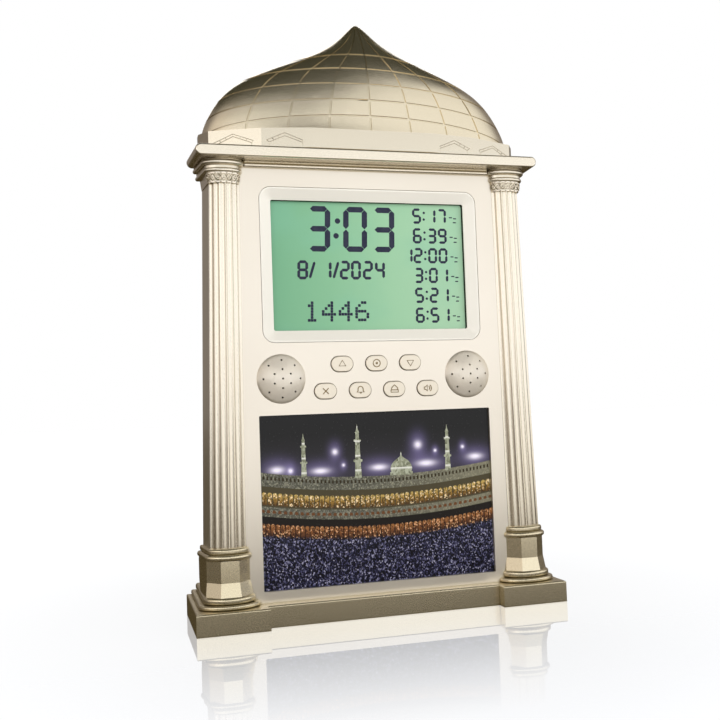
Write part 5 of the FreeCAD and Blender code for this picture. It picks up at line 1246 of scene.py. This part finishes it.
# %% What the floor shows
FLOOR_GLOW = ((0.0, (0.055, 0.040, 0.015)), (0.4, (0.20, 0.165, 0.11)), (1.0, (1.15, 1.12, 1.06)))
FLOOR_SEEN = (0.975, 0.985, 1.0, 1)
FLOOR_MATT = (0.20, 0.20, 0.22, 1)
WHITE_NEAR, WHITE_FAR = 0.82, 1.08
WHITE_REACH = (0.12, 0.40)
GLOW_AHEAD, GLOW_LEFT = (-0.07, -0.50), (-0.10, -0.70)
MIRROR_SHARE = 0.53
MIRROR_FADE = (-0.20, -0.045)


def shaders_mixed(tree, share, first, second):
    """Two shaders mixed by a share of the second."""
    mix = add_node(tree, "ShaderNodeMixShader")
    for socket, value in zip(mix.inputs, (share, first, second)):
        tree.links.new(value, socket)
    return mix.outputs["Shader"]


def floor_glow(tree, x, y):
    """What the lacquer sees of the floor: brighter away from the clock."""
    ahead = between(tree, y, 0.0, 1.0, *GLOW_AHEAD)
    left = between(tree, x, 1.0, 0.0, *GLOW_LEFT)
    glow_light = add_node(tree, "ShaderNodeEmission")
    tree.links.new(colour_ramp(tree, maths(tree, "MULTIPLY", ahead, left), FLOOR_GLOW),
                   glow_light.inputs["Color"])
    return glow_light.outputs["Emission"]


def floor_white(tree, y):
    """What the eye sees: white, with a shadow and a mirror image that fades to the front."""
    away = add_node(tree, "ShaderNodeVectorMath", operation="LENGTH")
    tree.links.new(object_place(tree), away.inputs[0])
    white = add_node(tree, "ShaderNodeEmission", Color=FLOOR_SEEN)
    tree.links.new(between(tree, away.outputs["Value"], WHITE_NEAR, WHITE_FAR, *WHITE_REACH),
                   white.inputs["Strength"])
    matt = add_node(tree, "ShaderNodeBsdfDiffuse", Color=FLOOR_MATT)
    both = add_node(tree, "ShaderNodeAddShader")
    tree.links.new(white.outputs["Emission"], both.inputs[0])
    tree.links.new(matt.outputs["BSDF"], both.inputs[1])
    polish = add_node(tree, "ShaderNodeBsdfAnisotropic", Roughness=0.0, Color=(1, 1, 1, 1))
    share = between(tree, y, 0.0, MIRROR_SHARE, *MIRROR_FADE)
    return shaders_mixed(tree, share, both.outputs["Shader"], polish.outputs["BSDF"])


print("mirror image up to", MIRROR_SHARE)

# %% [markdown]
# One large plane is enough.  A ray from the camera gets the white floor, and every other ray
# gets the glow, so that each can be set without the other.

# %% Floor
FLOOR_SIZE = 12.0


def add_floor():
    """A wide floor: white and polished for the eye, graded for the lacquer."""
    start_clean()
    bpy.ops.mesh.primitive_plane_add(size=FLOOR_SIZE, location=(0, 0, 0))
    floor = bpy.context.object
    floor.name = "floor"
    finish, tree, shader = new_finish("floor_white")
    tree.nodes.remove(shader)
    x, y, _ = axes(tree, 1.0)
    path = add_node(tree, "ShaderNodeLightPath")
    shown = shaders_mixed(tree, path.outputs["Is Camera Ray"], floor_glow(tree, x, y),
                          floor_white(tree, y))
    tree.links.new(shown, tree.nodes["Material Output"].inputs["Surface"])
    floor.data.materials.append(finish)


add_floor()
print("floor:", FLOOR_SIZE, "m")

# %% [markdown]
# ## The room
# The eye and the floor's mirror image see plain white.  The satin lacquer sees a room that is
# bright ahead of the clock, a little warmer to its left, dimmer higher up and dim behind it.
# Overhead it is a dark olive, which is what the upper half of the dome reflects.

# %% Room
ROOM_AHEAD = (1.35, 1.37, 1.42)
ROOM_LEFT = (1.0, 0.925, 0.885)
ROOM_BEHIND = (0.22, 0.19, 0.165)
ROOM_ABOVE = (0.020, 0.018, 0.001)
HIGH_SHARE = (0.68, 0.65, 0.57)
TO_LEFT, TO_BEHIND = (-0.25, -0.85), (-0.30, 0.25)
TO_HIGH, TO_ABOVE = (0.23, 0.31), (0.40, 0.53)
SIDE_SLOPE = 0.42


def add_world():
    """White for the eye and for mirror images, and a graded room for soft reflections."""
    world = bpy.data.worlds.new("studio")
    bpy.context.scene.world = world
    world.use_nodes = True
    tree = world.node_tree
    place = add_node(tree, "ShaderNodeTexCoord")
    split = add_node(tree, "ShaderNodeSeparateXYZ")
    tree.links.new(place.outputs["Generated"], split.inputs["Vector"])
    left = between(tree, split.outputs["X"], 0.0, 1.0, *TO_LEFT, smooth=True)
    turned = between(tree, split.outputs["Y"], 0.0, 1.0, *TO_BEHIND, smooth=True)
    high = between(tree, split.outputs["Z"], 0.0, 1.0, *TO_HIGH, smooth=True)
    ahead = blended(tree, high, blended(tree, left, ROOM_AHEAD, ROOM_LEFT), HIGH_SHARE, "MULTIPLY")
    walls = blended(tree, turned, ahead, ROOM_BEHIND)
    aside = maths(tree, "MULTIPLY", maths(tree, "ABSOLUTE", split.outputs["X"]), SIDE_SLOPE)
    rise = maths(tree, "SUBTRACT", split.outputs["Z"], aside)
    overhead = between(tree, rise, 0.0, 1.0, *TO_ABOVE, smooth=True)
    background = tree.nodes["Background"]
    tree.links.new(blended(tree, overhead, walls, ROOM_ABOVE), background.inputs["Color"])
    white = add_node(tree, "ShaderNodeBackground", Strength=1.0, Color=(1, 1, 1, 1))
    path = add_node(tree, "ShaderNodeLightPath")
    direct = maths(tree, "MAXIMUM", path.outputs["Is Camera Ray"], path.outputs["Is Singular Ray"])
    shown = shaders_mixed(tree, direct, background.outputs["Background"],
                          white.outputs["Background"])
    tree.links.new(shown, tree.nodes["World Output"].inputs["Surface"])


add_world()
print("room:", bpy.context.scene.world.name)

# %% [markdown]
# ## Lamps
# Four large soft lamps light the clock: a key from the right front, one straight ahead, a weak
# fill from the left and one from behind for the views from there.  The first two are left out
# of the reflections, where they would draw a hard window on the dome.

# %% Lamps
LAMP_TARGET = Vector((0, 0, 0.2))
SOFTBOXES = (("key_lamp", (0.80, -1.6, 0.9), (2.0, 1.4), 3.0, False),
             ("front_lamp", (-0.1, -1.6, 0.4), (1.4, 1.2), 9.0, False),
             ("fill_lamp", (-1.1, -1.3, 0.6), (1.0, 0.9), 1.5, True),
             ("rear_lamp", (0.2, 1.4, 1.3), (1.2, 1.0), 7.0, True))


def add_softbox(name, place, size, power, reflected):
    """A square lamp that looks at the clock, with or without a highlight of its own."""
    bpy.ops.object.light_add(type="AREA", location=place)
    lamp = bpy.context.object
    lamp.name = name
    lamp.data.shape = "RECTANGLE"
    lamp.data.size, lamp.data.size_y = size
    lamp.data.energy = power
    lamp.visible_glossy = reflected
    lamp.rotation_euler = (LAMP_TARGET - Vector(place)).to_track_quat("-Z", "Y").to_euler()


for softbox in SOFTBOXES:
    add_softbox(*softbox)
bpy.context.scene.view_settings.view_transform = "Standard"
print("lamps:", len(bpy.data.lights))
